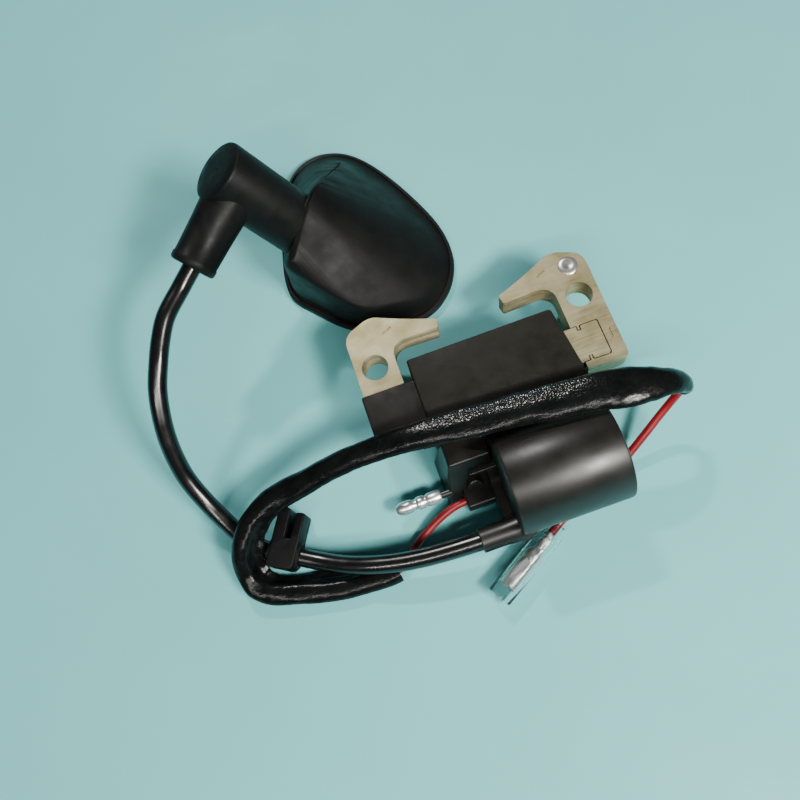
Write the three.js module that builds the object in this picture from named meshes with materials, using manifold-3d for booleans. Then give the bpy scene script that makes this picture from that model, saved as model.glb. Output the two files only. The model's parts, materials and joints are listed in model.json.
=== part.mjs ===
// Ignition coil of a small two-stroke generator: laminated core with pole shoes, exciter coil,
// electronics and high-tension cylinder in one module, ignition lead with plug cap, and trigger leads.
// Millimetres, +Z up. X runs from bolt hole to bolt hole, +Y towards the flywheel, z = 0 is the table.

import * as THREE from 'three';
import { mergeVertices } from 'three/addons/utils/BufferGeometryUtils.js';
import Module from 'manifold-3d';

const wasm = await Module();
wasm.setup();

// ---------------------------------------------------------------- driving dimensions

const GAP = 0.3;                    // clearance between neighbouring pieces

// laminated core
const HOLE_PITCH = 60;
const HOLE_RADIUS = 3.7;
const STACK_BOTTOM = 13;
const STACK_THICK = 7;              // fourteen laminations of 0.5 mm
const STACK_TOP = STACK_BOTTOM + STACK_THICK;
const LEG_OUTER_X = 35.7;
const LEG_INNER_X = 23.9;
const LEG_FOOT_Y = -21.2;
const SHOE_TIP_X = 9.2;
const SHOE_TIP_HIGH_Y = 7.8;
const SHOE_TIP_LOW_Y = 4.9;
const CORE_BACK_Y = 15;
const BAR_HIGH_Y = -8.7;
const BAR_LOW_Y = -18.9;
const BAR_MID_Y = (BAR_HIGH_Y + BAR_LOW_Y) / 2;
const BAR_MID_Z = STACK_BOTTOM + STACK_THICK / 2;
const TONGUE_NECK_X = 25.4;
const TONGUE_HEAD_X = 26.5;
const TONGUE_END_X = 31.4;
const SEAM = 0.25;
const RIVET_X = 30.4;
const RIVET_Y = 9.2;
const RIVET_HEAD_RADIUS = 2.8;
const RIVET_HEAD_HEIGHT = 0.6;
const RIVET_SHANK_RADIUS = 1.8;

// exciter coil and its case
const CASE_TOP = 24;
const CASE_LEFT_X = -21.4;
const CASE_RIGHT_BACK_X = 20.2;
const CASE_RIGHT_FRONT_X = 22.8;
const CASE_BACK_Y = -2.6;
const CASE_FRONT_Y = -26;
const CASE_WALL = 1.4;
const SHOULDER_TOP = 20.7;
const SHOULDER_BACK_Y = -7.3;
const SHOULDER_FRONT_Y = -22.4;
const SHOULDER_LEFT_X = -36.4;
const SHOULDER_UNDER = 1.6;

// module: electronics box, high-tension cylinder and its lead boss
const BOX_TOP = 16;
const BOX_TOP_LEFT_X = -20.4;
const BOX_FOOT_LEFT_X = -23.5;
const BOX_RIGHT_X = -10;
const BOX_TOP_FRONT_Y = -32.6;
const BOX_FOOT_FRONT_Y = -40.6;
const BOX_BACK_Y = -26.3;
const CYL_LEFT_X = -8.2;
const CYL_RIGHT_X = 22.6;
const CYL_RADIUS = 13.8;
const CYL_BORE = 12.3;
const CYL_Y = -42.8;
const CYL_Z = 16.7;
const BOSS_LEFT_X = -19;
const BOSS_Y = -53.1;
const BOSS_Z = 9.4;
const BOSS_RADIUS = 3.4;

// leads
const HT_DIAMETER = 5.2;
const WIRE_DIAMETER = 2.3;
const SLEEVE_WALL = 0.5;
const BULLET_HEADING = 210;         // degrees from +X, where the female bullet points
const BULLET_Z = 3.8;

// plug cap: an elbow whose barrel leans back over its hood
const CAP_ELBOW = new THREE.Vector3(-48.3, 54.4, 44.2);
const CAP_LEAN = 34;
const CAP_HEADING = 149.5;
const CAP_SWIVEL = 67;
const BARREL_RADIUS = 8.75;
const BARREL_TOP = 7;
const BARREL_BOTTOM = -39;
const NECK_RADIUS = 6;
const NECK_END = 26;

// middle of the coil's own box, seen from above
const COIL_MIDDLE_X = -0.35;
const COIL_MIDDLE_Y = -21.25;

const degrees = Math.PI / 180;
const model = new THREE.Group();

// ---------------------------------------------------------------- helpers

function material(color, roughness, metalness = 0) {
  return new THREE.MeshStandardMaterial({ color, roughness, metalness });
}

function add(name, geometry, look, parent = model) {
  const mesh = new THREE.Mesh(geometry, look);
  mesh.name = name;
  parent.add(mesh);
  return mesh;
}

function solidOf(geometry) {
  const bare = geometry.clone();
  bare.deleteAttribute('normal');
  bare.deleteAttribute('uv');
  const welded = mergeVertices(bare, 1e-4);
  return new wasm.Manifold(new wasm.Mesh({
    numProp: 3,
    vertProperties: Float32Array.from(welded.attributes.position.array),
    triVerts: Uint32Array.from(welded.index.array),
  }));
}

function geometryOf(solid) {
  const mesh = solid.getMesh();
  const geometry = new THREE.BufferGeometry();
  geometry.setAttribute('position', new THREE.BufferAttribute(Float32Array.from(mesh.vertProperties), 3));
  geometry.setIndex(new THREE.BufferAttribute(Uint32Array.from(mesh.triVerts), 1));
  geometry.computeVertexNormals();
  return geometry;
}

function cut(geometry, tools) {
  return geometryOf(tools.reduce((body, tool) => body.subtract(solidOf(tool)), solidOf(geometry)));
}

function join(geometry, others) {
  return geometryOf(others.reduce((body, other) => body.add(solidOf(other)), solidOf(geometry)));
}

// a block given by its low and high corners
function block(x0, y0, z0, x1, y1, z1) {
  return new THREE.BoxGeometry(x1 - x0, y1 - y0, z1 - z0)
    .translate((x0 + x1) / 2, (y0 + y1) / 2, (z0 + z1) / 2);
}

// a cylinder along X between two stations
function rodX(radius, x0, x1, y, z, sides = 24) {
  return new THREE.CylinderGeometry(radius, radius, x1 - x0, sides)
    .rotateZ(-Math.PI / 2)
    .translate((x0 + x1) / 2, y, z);
}

// a cylinder along Z between two heights
function rodZ(radius, z0, z1, x, y, sides = 24) {
  return new THREE.CylinderGeometry(radius, radius, z1 - z0, sides)
    .rotateX(Math.PI / 2)
    .translate(x, y, (z0 + z1) / 2);
}

function plate(shape, z0, z1, curveSegments = 6) {
  return new THREE.ExtrudeGeometry(shape, { depth: z1 - z0, bevelEnabled: false, curveSegments })
    .translate(0, 0, z0);
}

// a piece turned about X: its profile is a list of [x, radius] that starts and ends on the axis or closes
function turnedX(profile, y, z, sides = 24) {
  return new THREE.LatheGeometry(profile.map(([x, r]) => new THREE.Vector2(r, x)), sides)
    .rotateZ(-Math.PI / 2)
    .translate(0, y, z);
}

// a piece turned about Z: its profile is a list of [radius, z]
function turnedZ(profile, sides = 24) {
  return new THREE.LatheGeometry(profile.map(([r, z]) => new THREE.Vector2(r, z)), sides)
    .rotateX(Math.PI / 2);
}

function ringProfile(inner, outer, x0, x1) {
  return [[x0, inner], [x0, outer], [x1, outer], [x1, inner], [x0, inner]];
}

// a round tube along a smooth route of points
function cordGeometry(points, diameter, sides, steps) {
  const route = new THREE.CatmullRomCurve3(points, false, 'centripetal');
  const section = new THREE.Shape();
  section.absarc(0, 0, diameter / 2, 0, 2 * Math.PI);
  return new THREE.ExtrudeGeometry(section, {
    extrudePath: route, steps, bevelEnabled: false, curveSegments: sides / 2,
  });
}

function vectors(points) {
  return points.map(([x, y, z]) => new THREE.Vector3(x, y, z));
}

// closed rings of points, each with the same count, skinned into one closed body
function skin(rings, closeLoop = false) {
  const count = rings[0].length;
  const positions = rings.flat().flatMap((point) => [point.x, point.y, point.z]);
  const index = [];
  const bands = closeLoop ? rings.length : rings.length - 1;
  for (let band = 0; band < bands; band += 1) {
    const low = band * count;
    const high = ((band + 1) % rings.length) * count;
    for (let i = 0; i < count; i += 1) {
      const next = (i + 1) % count;
      index.push(low + i, low + next, high + next, low + i, high + next, high + i);
    }
  }
  const geometry = new THREE.BufferGeometry();
  geometry.setAttribute('position', new THREE.Float32BufferAttribute(positions, 3));
  geometry.setIndex(index);
  return geometry;
}

const black = material('#1c1a18', 0.55);
const gloss = material('#121110', 0.28);
const rubber = material('#1f2021', 0.7);
const steel = material('#b9b49a', 0.38, 0.8);
const tinned = material('#d7d7d2', 0.25, 1);
const copper = material('#a4552c', 0.35, 0.9);
const resin = material('#3a3226', 0.5);
const nylon = material('#d8d2c0', 0.5);

// ---------------------------------------------------------------- laminated core

// one leg with its pole shoe, drawn on the right-hand side
function legShape() {
  const shape = new THREE.Shape();
  shape.moveTo(LEG_INNER_X, LEG_FOOT_Y);
  shape.lineTo(LEG_OUTER_X - 1.5, LEG_FOOT_Y);
  shape.quadraticCurveTo(LEG_OUTER_X, LEG_FOOT_Y, LEG_OUTER_X, LEG_FOOT_Y + 1.5);
  shape.lineTo(LEG_OUTER_X, 8.2);
  shape.quadraticCurveTo(LEG_OUTER_X, 11.6, LEG_OUTER_X - 2.8, 12.9);
  shape.lineTo(LEG_OUTER_X - 6.6, 14.4);
  shape.quadraticCurveTo(LEG_OUTER_X - 8.8, CORE_BACK_Y, LEG_OUTER_X - 10.4, CORE_BACK_Y - 0.6);
  shape.quadraticCurveTo(17.5, 10.6, SHOE_TIP_X, SHOE_TIP_HIGH_Y);
  shape.lineTo(SHOE_TIP_X + 0.5, SHOE_TIP_LOW_Y);
  shape.lineTo(LEG_INNER_X - 4.2, SHOE_TIP_LOW_Y + 0.3);
  shape.quadraticCurveTo(LEG_INNER_X, SHOE_TIP_LOW_Y, LEG_INNER_X, 0.8);
  shape.closePath();
  return shape;
}

function tongue(grow, z0, z1) {
  const neck = block(LEG_INNER_X - 1, BAR_LOW_Y - grow, z0, TONGUE_NECK_X + grow, BAR_HIGH_Y + grow, z1);
  const waist = block(LEG_INNER_X, BAR_LOW_Y + 1.3 - grow, z0, TONGUE_END_X - 1, BAR_HIGH_Y - 1.3 + grow, z1);
  const head = block(TONGUE_HEAD_X - grow, BAR_LOW_Y - grow, z0, TONGUE_END_X + grow, BAR_HIGH_Y + grow, z1);
  return join(neck, [waist, head]);
}

function interlockMark(x, y, turn) {
  return new THREE.BoxGeometry(3.6, 1.1, 0.5).rotateZ(turn).translate(x, y, STACK_TOP);
}

function buildCore() {
  const leg = plate(legShape(), STACK_BOTTOM, STACK_TOP);
  const leftLeg = flipFaces(leg.clone().scale(-1, 1, 1));
  const bar = block(-LEG_INNER_X - 1, BAR_LOW_Y, STACK_BOTTOM, LEG_INNER_X, BAR_HIGH_Y, STACK_TOP);
  const stack = join(leftLeg, [bar, tongue(0, STACK_BOTTOM, STACK_TOP)]);
  const bore = (x) => rodZ(HOLE_RADIUS, STACK_BOTTOM - 1, STACK_TOP + 1, x, 0, 32);
  add('core_stack', cut(stack, [bore(-HOLE_PITCH / 2), interlockMark(-23.6, 9.4, 0.4)]), steel);

  const pocket = tongue(SEAM, STACK_BOTTOM - 1, STACK_TOP + 1);
  const rivetHole = rodZ(RIVET_SHANK_RADIUS + 0.2, STACK_BOTTOM - 1, STACK_TOP + 1, RIVET_X, RIVET_Y);
  const marksRight = [interlockMark(22.4, 9.8, 0.4), interlockMark(33.4, -13.5, Math.PI / 2)];
  add('core_leg_right', cut(leg, [bore(HOLE_PITCH / 2), pocket, rivetHole, ...marksRight]), steel);

  const headEdge = RIVET_HEAD_RADIUS - 0.6;
  const rivet = turnedZ([
    [0, STACK_BOTTOM - RIVET_HEAD_HEIGHT], [headEdge, STACK_BOTTOM - RIVET_HEAD_HEIGHT],
    [RIVET_HEAD_RADIUS, STACK_BOTTOM - 0.2], [RIVET_HEAD_RADIUS, STACK_BOTTOM],
    [RIVET_SHANK_RADIUS, STACK_BOTTOM], [RIVET_SHANK_RADIUS, STACK_TOP],
    [RIVET_HEAD_RADIUS, STACK_TOP], [RIVET_HEAD_RADIUS, STACK_TOP + 0.2],
    [headEdge, STACK_TOP + RIVET_HEAD_HEIGHT], [0, STACK_TOP + RIVET_HEAD_HEIGHT],
  ]).translate(RIVET_X, RIVET_Y, 0);
  add('core_rivet', rivet, tinned);
}

// a mirrored body has its faces turned the right way out again
function flipFaces(geometry) {
  const position = geometry.attributes.position;
  for (let i = 0; i < position.count; i += 3) {
    for (const axis of ['X', 'Y', 'Z']) {
      const first = position[`get${axis}`](i);
      position[`set${axis}`](i, position[`get${axis}`](i + 1));
      position[`set${axis}`](i + 1, first);
    }
  }
  return geometry;
}

// ---------------------------------------------------------------- exciter coil on the bar

const SPOOL_HALF = 18.6;
const SPOOL_WALL = 1;
const SPOOL_FLANGE = 1.2;
const FLANGE_BEYOND_Y = 3;          // how far the flanges stand out past the tube, in Y and in Z
const FLANGE_BEYOND_Z = 1;
const WINDING_MARGIN = 0.4;
const RESIN_LOW_Z = 0.6;
const RESIN_HIGH_Z = 6.4;

// a rectangular frame round the core's bar, between two stations of X
function barFrame(outerY, outerZ, holeY, holeZ, x0, x1) {
  const [y, z] = [BAR_MID_Y, BAR_MID_Z];
  const outer = block(x0, y - outerY, z - outerZ, x1, y + outerY, z + outerZ);
  const hole = block(x0 - 1, y - holeY, z - holeZ, x1 + 1, y + holeY, z + holeZ);
  return cut(outer, [hole]);
}

function buildExciter() {
  const barY = (BAR_HIGH_Y - BAR_LOW_Y) / 2 + GAP;
  const barZ = STACK_THICK / 2 + GAP;
  const tubeY = barY + SPOOL_WALL;
  const tubeZ = barZ + SPOOL_WALL;
  const flangeY = tubeY + FLANGE_BEYOND_Y;
  const flangeZ = tubeZ + FLANGE_BEYOND_Z;
  const tube = barFrame(tubeY, tubeZ, barY, barZ, -SPOOL_HALF, SPOOL_HALF);
  const flanges = [-SPOOL_HALF, SPOOL_HALF - SPOOL_FLANGE].map(
    (x) => barFrame(flangeY, flangeZ, barY, barZ, x, x + SPOOL_FLANGE),
  );
  add('exciter_bobbin', join(tube, flanges), nylon);

  const windingEnd = SPOOL_HALF - SPOOL_FLANGE - 0.2;
  add('exciter_winding', barFrame(
    flangeY - WINDING_MARGIN, flangeZ - WINDING_MARGIN, tubeY + 0.1, tubeZ + 0.1, -windingEnd, windingEnd,
  ), copper);
}

function caseOutline() {
  const outline = new THREE.Shape();
  outline.moveTo(CASE_LEFT_X, CASE_FRONT_Y);
  outline.lineTo(CASE_RIGHT_FRONT_X, CASE_FRONT_Y);
  outline.lineTo(CASE_RIGHT_BACK_X + 0.2, CASE_BACK_Y - 1.2);
  outline.quadraticCurveTo(CASE_RIGHT_BACK_X, CASE_BACK_Y, CASE_RIGHT_BACK_X - 1.2, CASE_BACK_Y);
  outline.lineTo(CASE_LEFT_X, CASE_BACK_Y);
  outline.closePath();
  return outline;
}

function buildExciterCase() {
  const lowZ = STACK_BOTTOM - GAP;
  const highZ = STACK_TOP + GAP;
  const shoulder = block(
    SHOULDER_LEFT_X, SHOULDER_FRONT_Y, STACK_BOTTOM - SHOULDER_UNDER,
    CASE_LEFT_X + 1, SHOULDER_BACK_Y, SHOULDER_TOP,
  );
  const hollow = block(
    CASE_LEFT_X + CASE_WALL, CASE_FRONT_Y + CASE_WALL, -1,
    CASE_RIGHT_BACK_X - CASE_WALL, CASE_BACK_Y - CASE_WALL, CASE_TOP - CASE_WALL,
  );
  const barWindow = block(
    SHOULDER_LEFT_X - 1, BAR_LOW_Y - GAP, lowZ, CASE_RIGHT_FRONT_X + 1, BAR_HIGH_Y + GAP, highZ,
  );
  const legPocket = block(
    -LEG_OUTER_X - GAP, LEG_FOOT_Y - GAP, lowZ, CASE_LEFT_X - CASE_WALL, SHOULDER_BACK_Y + 1, highZ,
  );
  const shell = join(plate(caseOutline(), 0, CASE_TOP), [shoulder]);
  add('exciter_case', cut(shell, [hollow, barWindow, legPocket]), black);

  const inset = CASE_WALL + GAP;
  add('exciter_resin', block(
    CASE_LEFT_X + inset, CASE_FRONT_Y + inset, RESIN_LOW_Z,
    CASE_RIGHT_BACK_X - inset, CASE_BACK_Y - inset, RESIN_HIGH_Z,
  ), resin);
}

// ---------------------------------------------------------------- module case

const LEDGE_TOP = 6;
const LEDGE_FRONT_Y = -43.2;
const WEB_BOTTOM = 2.5;             // the web that carries the boss between the box and the cylinder
const WEB_TOP = 10;
const WEB_FRONT_Y = -52;
const BACK_WEB = [-16, -36, 4, 18, BOX_BACK_Y, 12];
const FACE_BOSS = new THREE.Vector3(-14.9, -37.2, 7.6);
const FACE_BOSS_RADIUS = 2.2;
const FACE_TILT = 70;
const POCKET_LEFT_X = -21.6;
const POCKET_FRONT_Y = -37;
const POCKET_TOP = 8;
const UPPER_POCKET_LEFT_X = -19;
const UPPER_POCKET_FRONT_Y = -31.4;
const MODULE_WALL = 1.4;
const POCKET_RIGHT_X = BOX_RIGHT_X - MODULE_WALL;
const POCKET_BACK_Y = BOX_BACK_Y - MODULE_WALL;
const RED_EXIT = new THREE.Vector3(-18.8, -40.6, 4);
const BLACK_EXIT = new THREE.Vector3(-22.6, -36.9, 5.2);
const LEAD_IN_BOSS = 5.1;           // how deep the ignition lead sits in the module's boss
const TERMINAL_RADIUS = 0.8;

// the electronics box: its front and left faces lean in towards the top
function boxGeometry() {
  const foot = [
    [BOX_FOOT_LEFT_X, BOX_FOOT_FRONT_Y], [BOX_RIGHT_X, BOX_FOOT_FRONT_Y],
    [BOX_RIGHT_X, BOX_BACK_Y], [BOX_FOOT_LEFT_X, BOX_BACK_Y],
  ];
  const top = [
    [BOX_TOP_LEFT_X, BOX_TOP_FRONT_Y], [BOX_RIGHT_X, BOX_TOP_FRONT_Y],
    [BOX_RIGHT_X, BOX_BACK_Y], [BOX_TOP_LEFT_X, BOX_BACK_Y],
  ];
  const corners = [...foot.map(([x, y]) => [x, y, 0]), ...top.map(([x, y]) => [x, y, BOX_TOP])];
  const sides = [0, 1, 2, 3].flatMap((i) => {
    const j = (i + 1) % 4;
    return [i, j, 4 + j, i, 4 + j, 4 + i];
  });
  const geometry = new THREE.BufferGeometry();
  geometry.setAttribute('position', new THREE.Float32BufferAttribute(corners.flat(), 3));
  geometry.setIndex([0, 2, 1, 0, 3, 2, 4, 5, 6, 4, 6, 7, ...sides]);
  return geometry;
}

// the hollows and lead holes cut out of the module's case
function moduleHollows() {
  return [
    rodX(CYL_BORE, CYL_LEFT_X + 1.6, CYL_RIGHT_X + 1, CYL_Y, CYL_Z, 48),
    block(POCKET_LEFT_X, POCKET_FRONT_Y, -1, POCKET_RIGHT_X, POCKET_BACK_Y, POCKET_TOP),
    block(
      UPPER_POCKET_LEFT_X, UPPER_POCKET_FRONT_Y, POCKET_TOP - 1,
      POCKET_RIGHT_X, POCKET_BACK_Y, BOX_TOP - MODULE_WALL,
    ),
    rodX(HT_DIAMETER / 2 + GAP, BOSS_LEFT_X - 1, BOSS_LEFT_X + LEAD_IN_BOSS + 0.9, BOSS_Y, BOSS_Z, 24),
    rodX(TERMINAL_RADIUS + GAP, BOSS_LEFT_X + LEAD_IN_BOSS, CYL_LEFT_X + 2.2, BOSS_Y, BOSS_Z, 12),
    rodX(WIRE_DIAMETER / 2 + GAP, RED_EXIT.x - 1, RED_EXIT.x + 4, RED_EXIT.y, RED_EXIT.z, 12),
    rodX(WIRE_DIAMETER / 2 + GAP, BLACK_EXIT.x - 2, BLACK_EXIT.x + 3.2, BLACK_EXIT.y, BLACK_EXIT.z, 12),
  ];
}

function buildModuleCase() {
  const cylinder = rodX(CYL_RADIUS, CYL_LEFT_X, CYL_RIGHT_X, CYL_Y, CYL_Z, 48);
  const boss = rodX(BOSS_RADIUS, BOSS_LEFT_X, CYL_LEFT_X + 3, BOSS_Y, BOSS_Z, 24);
  const web = block(BOX_RIGHT_X - 1, WEB_FRONT_Y, WEB_BOTTOM, CYL_LEFT_X + 1, BOX_BACK_Y, WEB_TOP);
  const ledge = block(RED_EXIT.x, LEDGE_FRONT_Y, 0.4, BOX_RIGHT_X, -36, LEDGE_TOP);
  const faceBoss = rodZ(FACE_BOSS_RADIUS, 0, 1.2, 0, 0, 20)
    .rotateX(FACE_TILT * degrees)
    .translate(FACE_BOSS.x, FACE_BOSS.y, FACE_BOSS.z);
  const shell = join(boxGeometry(), [cylinder, boss, web, block(...BACK_WEB), ledge, faceBoss]);
  add('module_case', cut(shell, moduleHollows()), black);

  add('module_resin', block(
    POCKET_LEFT_X + GAP, POCKET_FRONT_Y + GAP, 0.4, POCKET_RIGHT_X - GAP, POCKET_BACK_Y - GAP, 1.6,
  ), resin);
  const capInner = CYL_RIGHT_X - 1.8;
  const capOuter = CYL_RIGHT_X - 0.2;
  add('hv_end_cap', turnedX(
    [[capInner, 0], [capInner, CYL_BORE - GAP], [capOuter, CYL_BORE - GAP], [capOuter, 0]], CYL_Y, CYL_Z, 48,
  ), resin);
}

// ---------------------------------------------------------------- electronics in the box

const BOARD_LOW_Z = 2;
const BOARD_HIGH_Z = 3.2;

function buildElectronics() {
  const board = material('#2f5d3a', 0.6);
  add('circuit_board', block(-21, -36.4, BOARD_LOW_Z, -12, -28.3, BOARD_HIGH_Z), board);
  add('storage_capacitor', block(-18.6, -31.1, BOARD_HIGH_Z, -12, -28.2, 10.4), material('#8c3b22', 0.45));
  const thyristor = new THREE.Shape();
  thyristor.absarc(0, 0, 2.2, -0.8, Math.PI + 0.8);
  thyristor.closePath();
  const transistorBody = plate(thyristor, BOARD_HIGH_Z, 7.6, 8).translate(-18.2, -34.4, 0);
  add('thyristor', transistorBody, material('#181818', 0.5));
  const diodeZ = BOARD_HIGH_Z + 1.3;
  const resistorZ = BOARD_HIGH_Z + 1.1;
  add('charging_diode', rodX(1.2, -15.4, -11.8, -33.2, diodeZ, 16), material('#26262a', 0.4));
  add('trigger_resistor', rodX(1, -15.6, -11.7, -35.9, resistorZ, 16), material('#b89a62', 0.5));
}

// ---------------------------------------------------------------- high-tension transformer

const FERRITE_RADIUS = 3.6;
const PRIMARY_TUBE = [3.9, 4.7];    // inner and outer radius, and so on for the rings round it
const PRIMARY_COIL = [5, 6];
const SECONDARY_TUBE = [6.3, 7.2];
const SECONDARY_COIL = [7.5, 11];
const FLANGE_RADIUS = 11.6;
const FLANGE_THICK = 1;
const CHAMBERS = 3;

function ringX(radii, x0, x1, sides) {
  return turnedX(ringProfile(radii[0], radii[1], x0, x1), CYL_Y, CYL_Z, sides);
}

function buildTransformer() {
  const left = CYL_LEFT_X + 1.9;
  const right = CYL_RIGHT_X - 2.4;
  const ferrite = rodX(FERRITE_RADIUS, left + 0.2, right - 0.2, CYL_Y, CYL_Z, 24);
  add('ferrite_core', ferrite, material('#3b3d40', 0.5, 0.3));
  add('primary_bobbin', ringX(PRIMARY_TUBE, left, right, 24), nylon);
  add('primary_winding', ringX(PRIMARY_COIL, left + 1, right - 1, 24), copper);

  const chamber = (right - left - FLANGE_THICK) / CHAMBERS;
  const flanges = Array.from({ length: CHAMBERS + 1 }, (_, i) => {
    const x = left + chamber * i;
    return ringX([SECONDARY_TUBE[0], FLANGE_RADIUS], x, x + FLANGE_THICK, 32);
  });
  add('secondary_bobbin', join(ringX(SECONDARY_TUBE, left, right, 32), flanges), nylon);
  for (let i = 0; i < CHAMBERS; i += 1) {
    const x = left + chamber * i + FLANGE_THICK + 0.2;
    const winding = ringX(SECONDARY_COIL, x, x + chamber - FLANGE_THICK - 0.4, 32);
    add(`secondary_winding_${i + 1}`, winding, copper);
  }

  const discLeft = BOSS_LEFT_X + LEAD_IN_BOSS + GAP;
  add('ht_terminal', turnedX([
    [discLeft, 0], [discLeft, 2.2], [discLeft + 0.5, 2.2], [discLeft + 0.5, TERMINAL_RADIUS],
    [CYL_LEFT_X + 1.6, TERMINAL_RADIUS], [CYL_LEFT_X + 1.6, 0],
  ], BOSS_Y, BOSS_Z, 16), tinned);
}

// ---------------------------------------------------------------- leads

// the plug cap's own frame: z up its barrel, x out along the neck
const capTurn = new THREE.Quaternion()
  .setFromAxisAngle(new THREE.Vector3(0, 0, 1), CAP_HEADING * degrees)
  .multiply(new THREE.Quaternion().setFromAxisAngle(new THREE.Vector3(0, 1, 0), CAP_LEAN * degrees))
  .multiply(new THREE.Quaternion().setFromAxisAngle(new THREE.Vector3(0, 0, 1), CAP_SWIVEL * degrees));

function capPoint(x, y, z) {
  return new THREE.Vector3(x, y, z).applyQuaternion(capTurn).add(CAP_ELBOW);
}

const LEAD_IN_CAP = 10;

// ignition lead: out of the boss, down on to the table, through the grommet and up to the cap
const HT_ROUTE = [
  ...vectors([
    [BOSS_LEFT_X + LEAD_IN_BOSS, BOSS_Y, BOSS_Z], [BOSS_LEFT_X + 2.5, BOSS_Y, BOSS_Z],
    [BOSS_LEFT_X, BOSS_Y, BOSS_Z], [-24.5, -52.9, 9.2], [-30.4, -52.5, 8.8], [-36, -51.9, 8.4],
    [-41.8, -50.9, 7.9], [-49.6, -48.8, 7], [-56.4, -46.1, 5.7],
    [-62, -43.1, 4.7], [-69.5, -38.7, 4.7], [-75.5, -35.2, 4.7],
    [-79.2, -31.9, 4.9], [-82.2, -28, 5.4], [-85, -23, 6.8], [-87.8, -17.2, 9.6], [-90.1, -10.4, 14.4],
    [-90.5, -5.4, 18.8], [-90.1, -0.7, 23], [-89, 4.4, 27], [-87, 10.8, 31], [-83.8, 17.5, 34.2],
    [-81.2, 22.8, 35.8], [-78.2, 27.6, 37],
  ]),
  capPoint(NECK_END + 6, 0, 0), capPoint(NECK_END, 0, 0), capPoint(18, 0, 0), capPoint(LEAD_IN_CAP, 0, 0),
];

// red lead: out of the module's ledge, through the sleeve, under the cylinder to the female bullet
const BULLET_BACK = new THREE.Vector3(2.6, -55.3, BULLET_Z);
const up = new THREE.Vector3(0, 0, 1);
const bulletAway = new THREE.Vector3(1, 0, 0).applyAxisAngle(up, BULLET_HEADING * degrees);

function alongBullet(distance) {
  return BULLET_BACK.clone().addScaledVector(bulletAway, distance);
}

const RED_ROUTE = [
  ...vectors([
    [RED_EXIT.x + 3.6, RED_EXIT.y, RED_EXIT.z], [RED_EXIT.x, RED_EXIT.y, RED_EXIT.z],
    [-21.8, -40.9, 3.9], [-24.6, -41.6, 3.6], [-28.4, -43, 2.9], [-32, -44.8, 2.2], [-36, -47.2, 1.6],
    [-39.4, -49.9, 1.7],
    [-43.1, -52.1, 2.4], [-49.8, -52.1, 2.4], [-56.4, -51.7, 2.4], [-62.5, -50.7, 2.5],
    [-68.5, -49.2, 2.7], [-73.8, -47.7, 3], [-78.4, -46, 3.6], [-81.6, -43.4, 4.6], [-82.9, -39.8, 6],
    [-82.6, -36, 8.8], [-80.4, -32.2, 11.4], [-76.8, -28.2, 13], [-71.5, -25.4, 14.4],
    [-65.4, -24.1, 16], [-58.1, -23.7, 18.2], [-50.2, -23.2, 21], [-41.2, -23.3, 23.8],
    [-34, -23.8, 25.6], [-27.5, -24.5, 27], [-19.2, -25.5, 28], [-8.8, -26.9, 28.6], [1.7, -27.9, 29],
    [11.7, -29.4, 29.6], [21.9, -30.7, 30], [28.4, -32.1, 29.9], [34.6, -33, 29], [40, -33.7, 27],
    [43.8, -34, 23.2], [45.4, -34, 19.2],
    [44.6, -34.4, 15.2], [42, -35.7, 12], [38, -37.9, 9], [33.4, -40.6, 6.4], [28.4, -43.4, 3.8],
    [22.6, -46.5, 1.6], [14.4, -50.2, 1.5], [8, -52.7, 2.4],
  ]),
  alongBullet(-1.6), alongBullet(1), alongBullet(3.4),
];
const SLEEVE_FIRST = 8;             // the sleeve covers the red lead from this point of its route
const SLEEVE_LAST = 36;             // to this one

// how far the sleeve reaches from the wire to the loop's inside and to its outside, and how thick it is,
// from its left-hand end to its right-hand end
const SLEEVE_SECTIONS = [
  [3, 3.2, 4.2], [4.2, 3.3, 4.2], [5.6, 3.4, 4.2], [6, 3.5, 4.2], [4.6, 3.5, 4.2], [4.7, 3.5, 4.2],
  [5.5, 3.5, 4.3], [6.2, 3.4, 4.4], [6, 3, 4.6], [5.4, 2.8, 4.8], [5.2, 3, 4.8], [5, 3.4, 4.6],
  [4.2, 3.6, 4.2], [3.8, 3.8, 4.2], [3.6, 3.6, 4.2], [3.4, 3.4, 4.2], [3.3, 3.3, 4.2], [3.4, 3.4, 4.2],
  [3.7, 3.7, 4.2], [4, 4, 4.2], [4.3, 4.3, 4.2], [4.5, 4.5, 4.2], [4.9, 4.9, 4.2], [5.2, 5.2, 4.2],
  [5.3, 5.3, 4.2], [4.6, 4.6, 4.2], [3.5, 3.5, 4.2], [3, 3, 4.4], [2.8, 2.8, 4.4],
];

function buildHtLead() {
  add('ht_lead', cordGeometry(HT_ROUTE, HT_DIAMETER, 10, 44), gloss);
}

function buildRedLead() {
  add('red_lead', cordGeometry(RED_ROUTE, WIRE_DIAMETER, 8, 80), material('#b8201f', 0.4));
}

const SLEEVE_SIDES = 14;
const SLEEVE_STEPS = 2;             // rings for each span of the route
const FLAP_THICKNESS = 1.4;         // where the sleeve is wide it lies flat beside the wire
const FLAP_START = 1.2;             // how far from the wire it begins to flatten
const FLAP_FULL = 3.8;              // and how far from the wire it is flat

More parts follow.
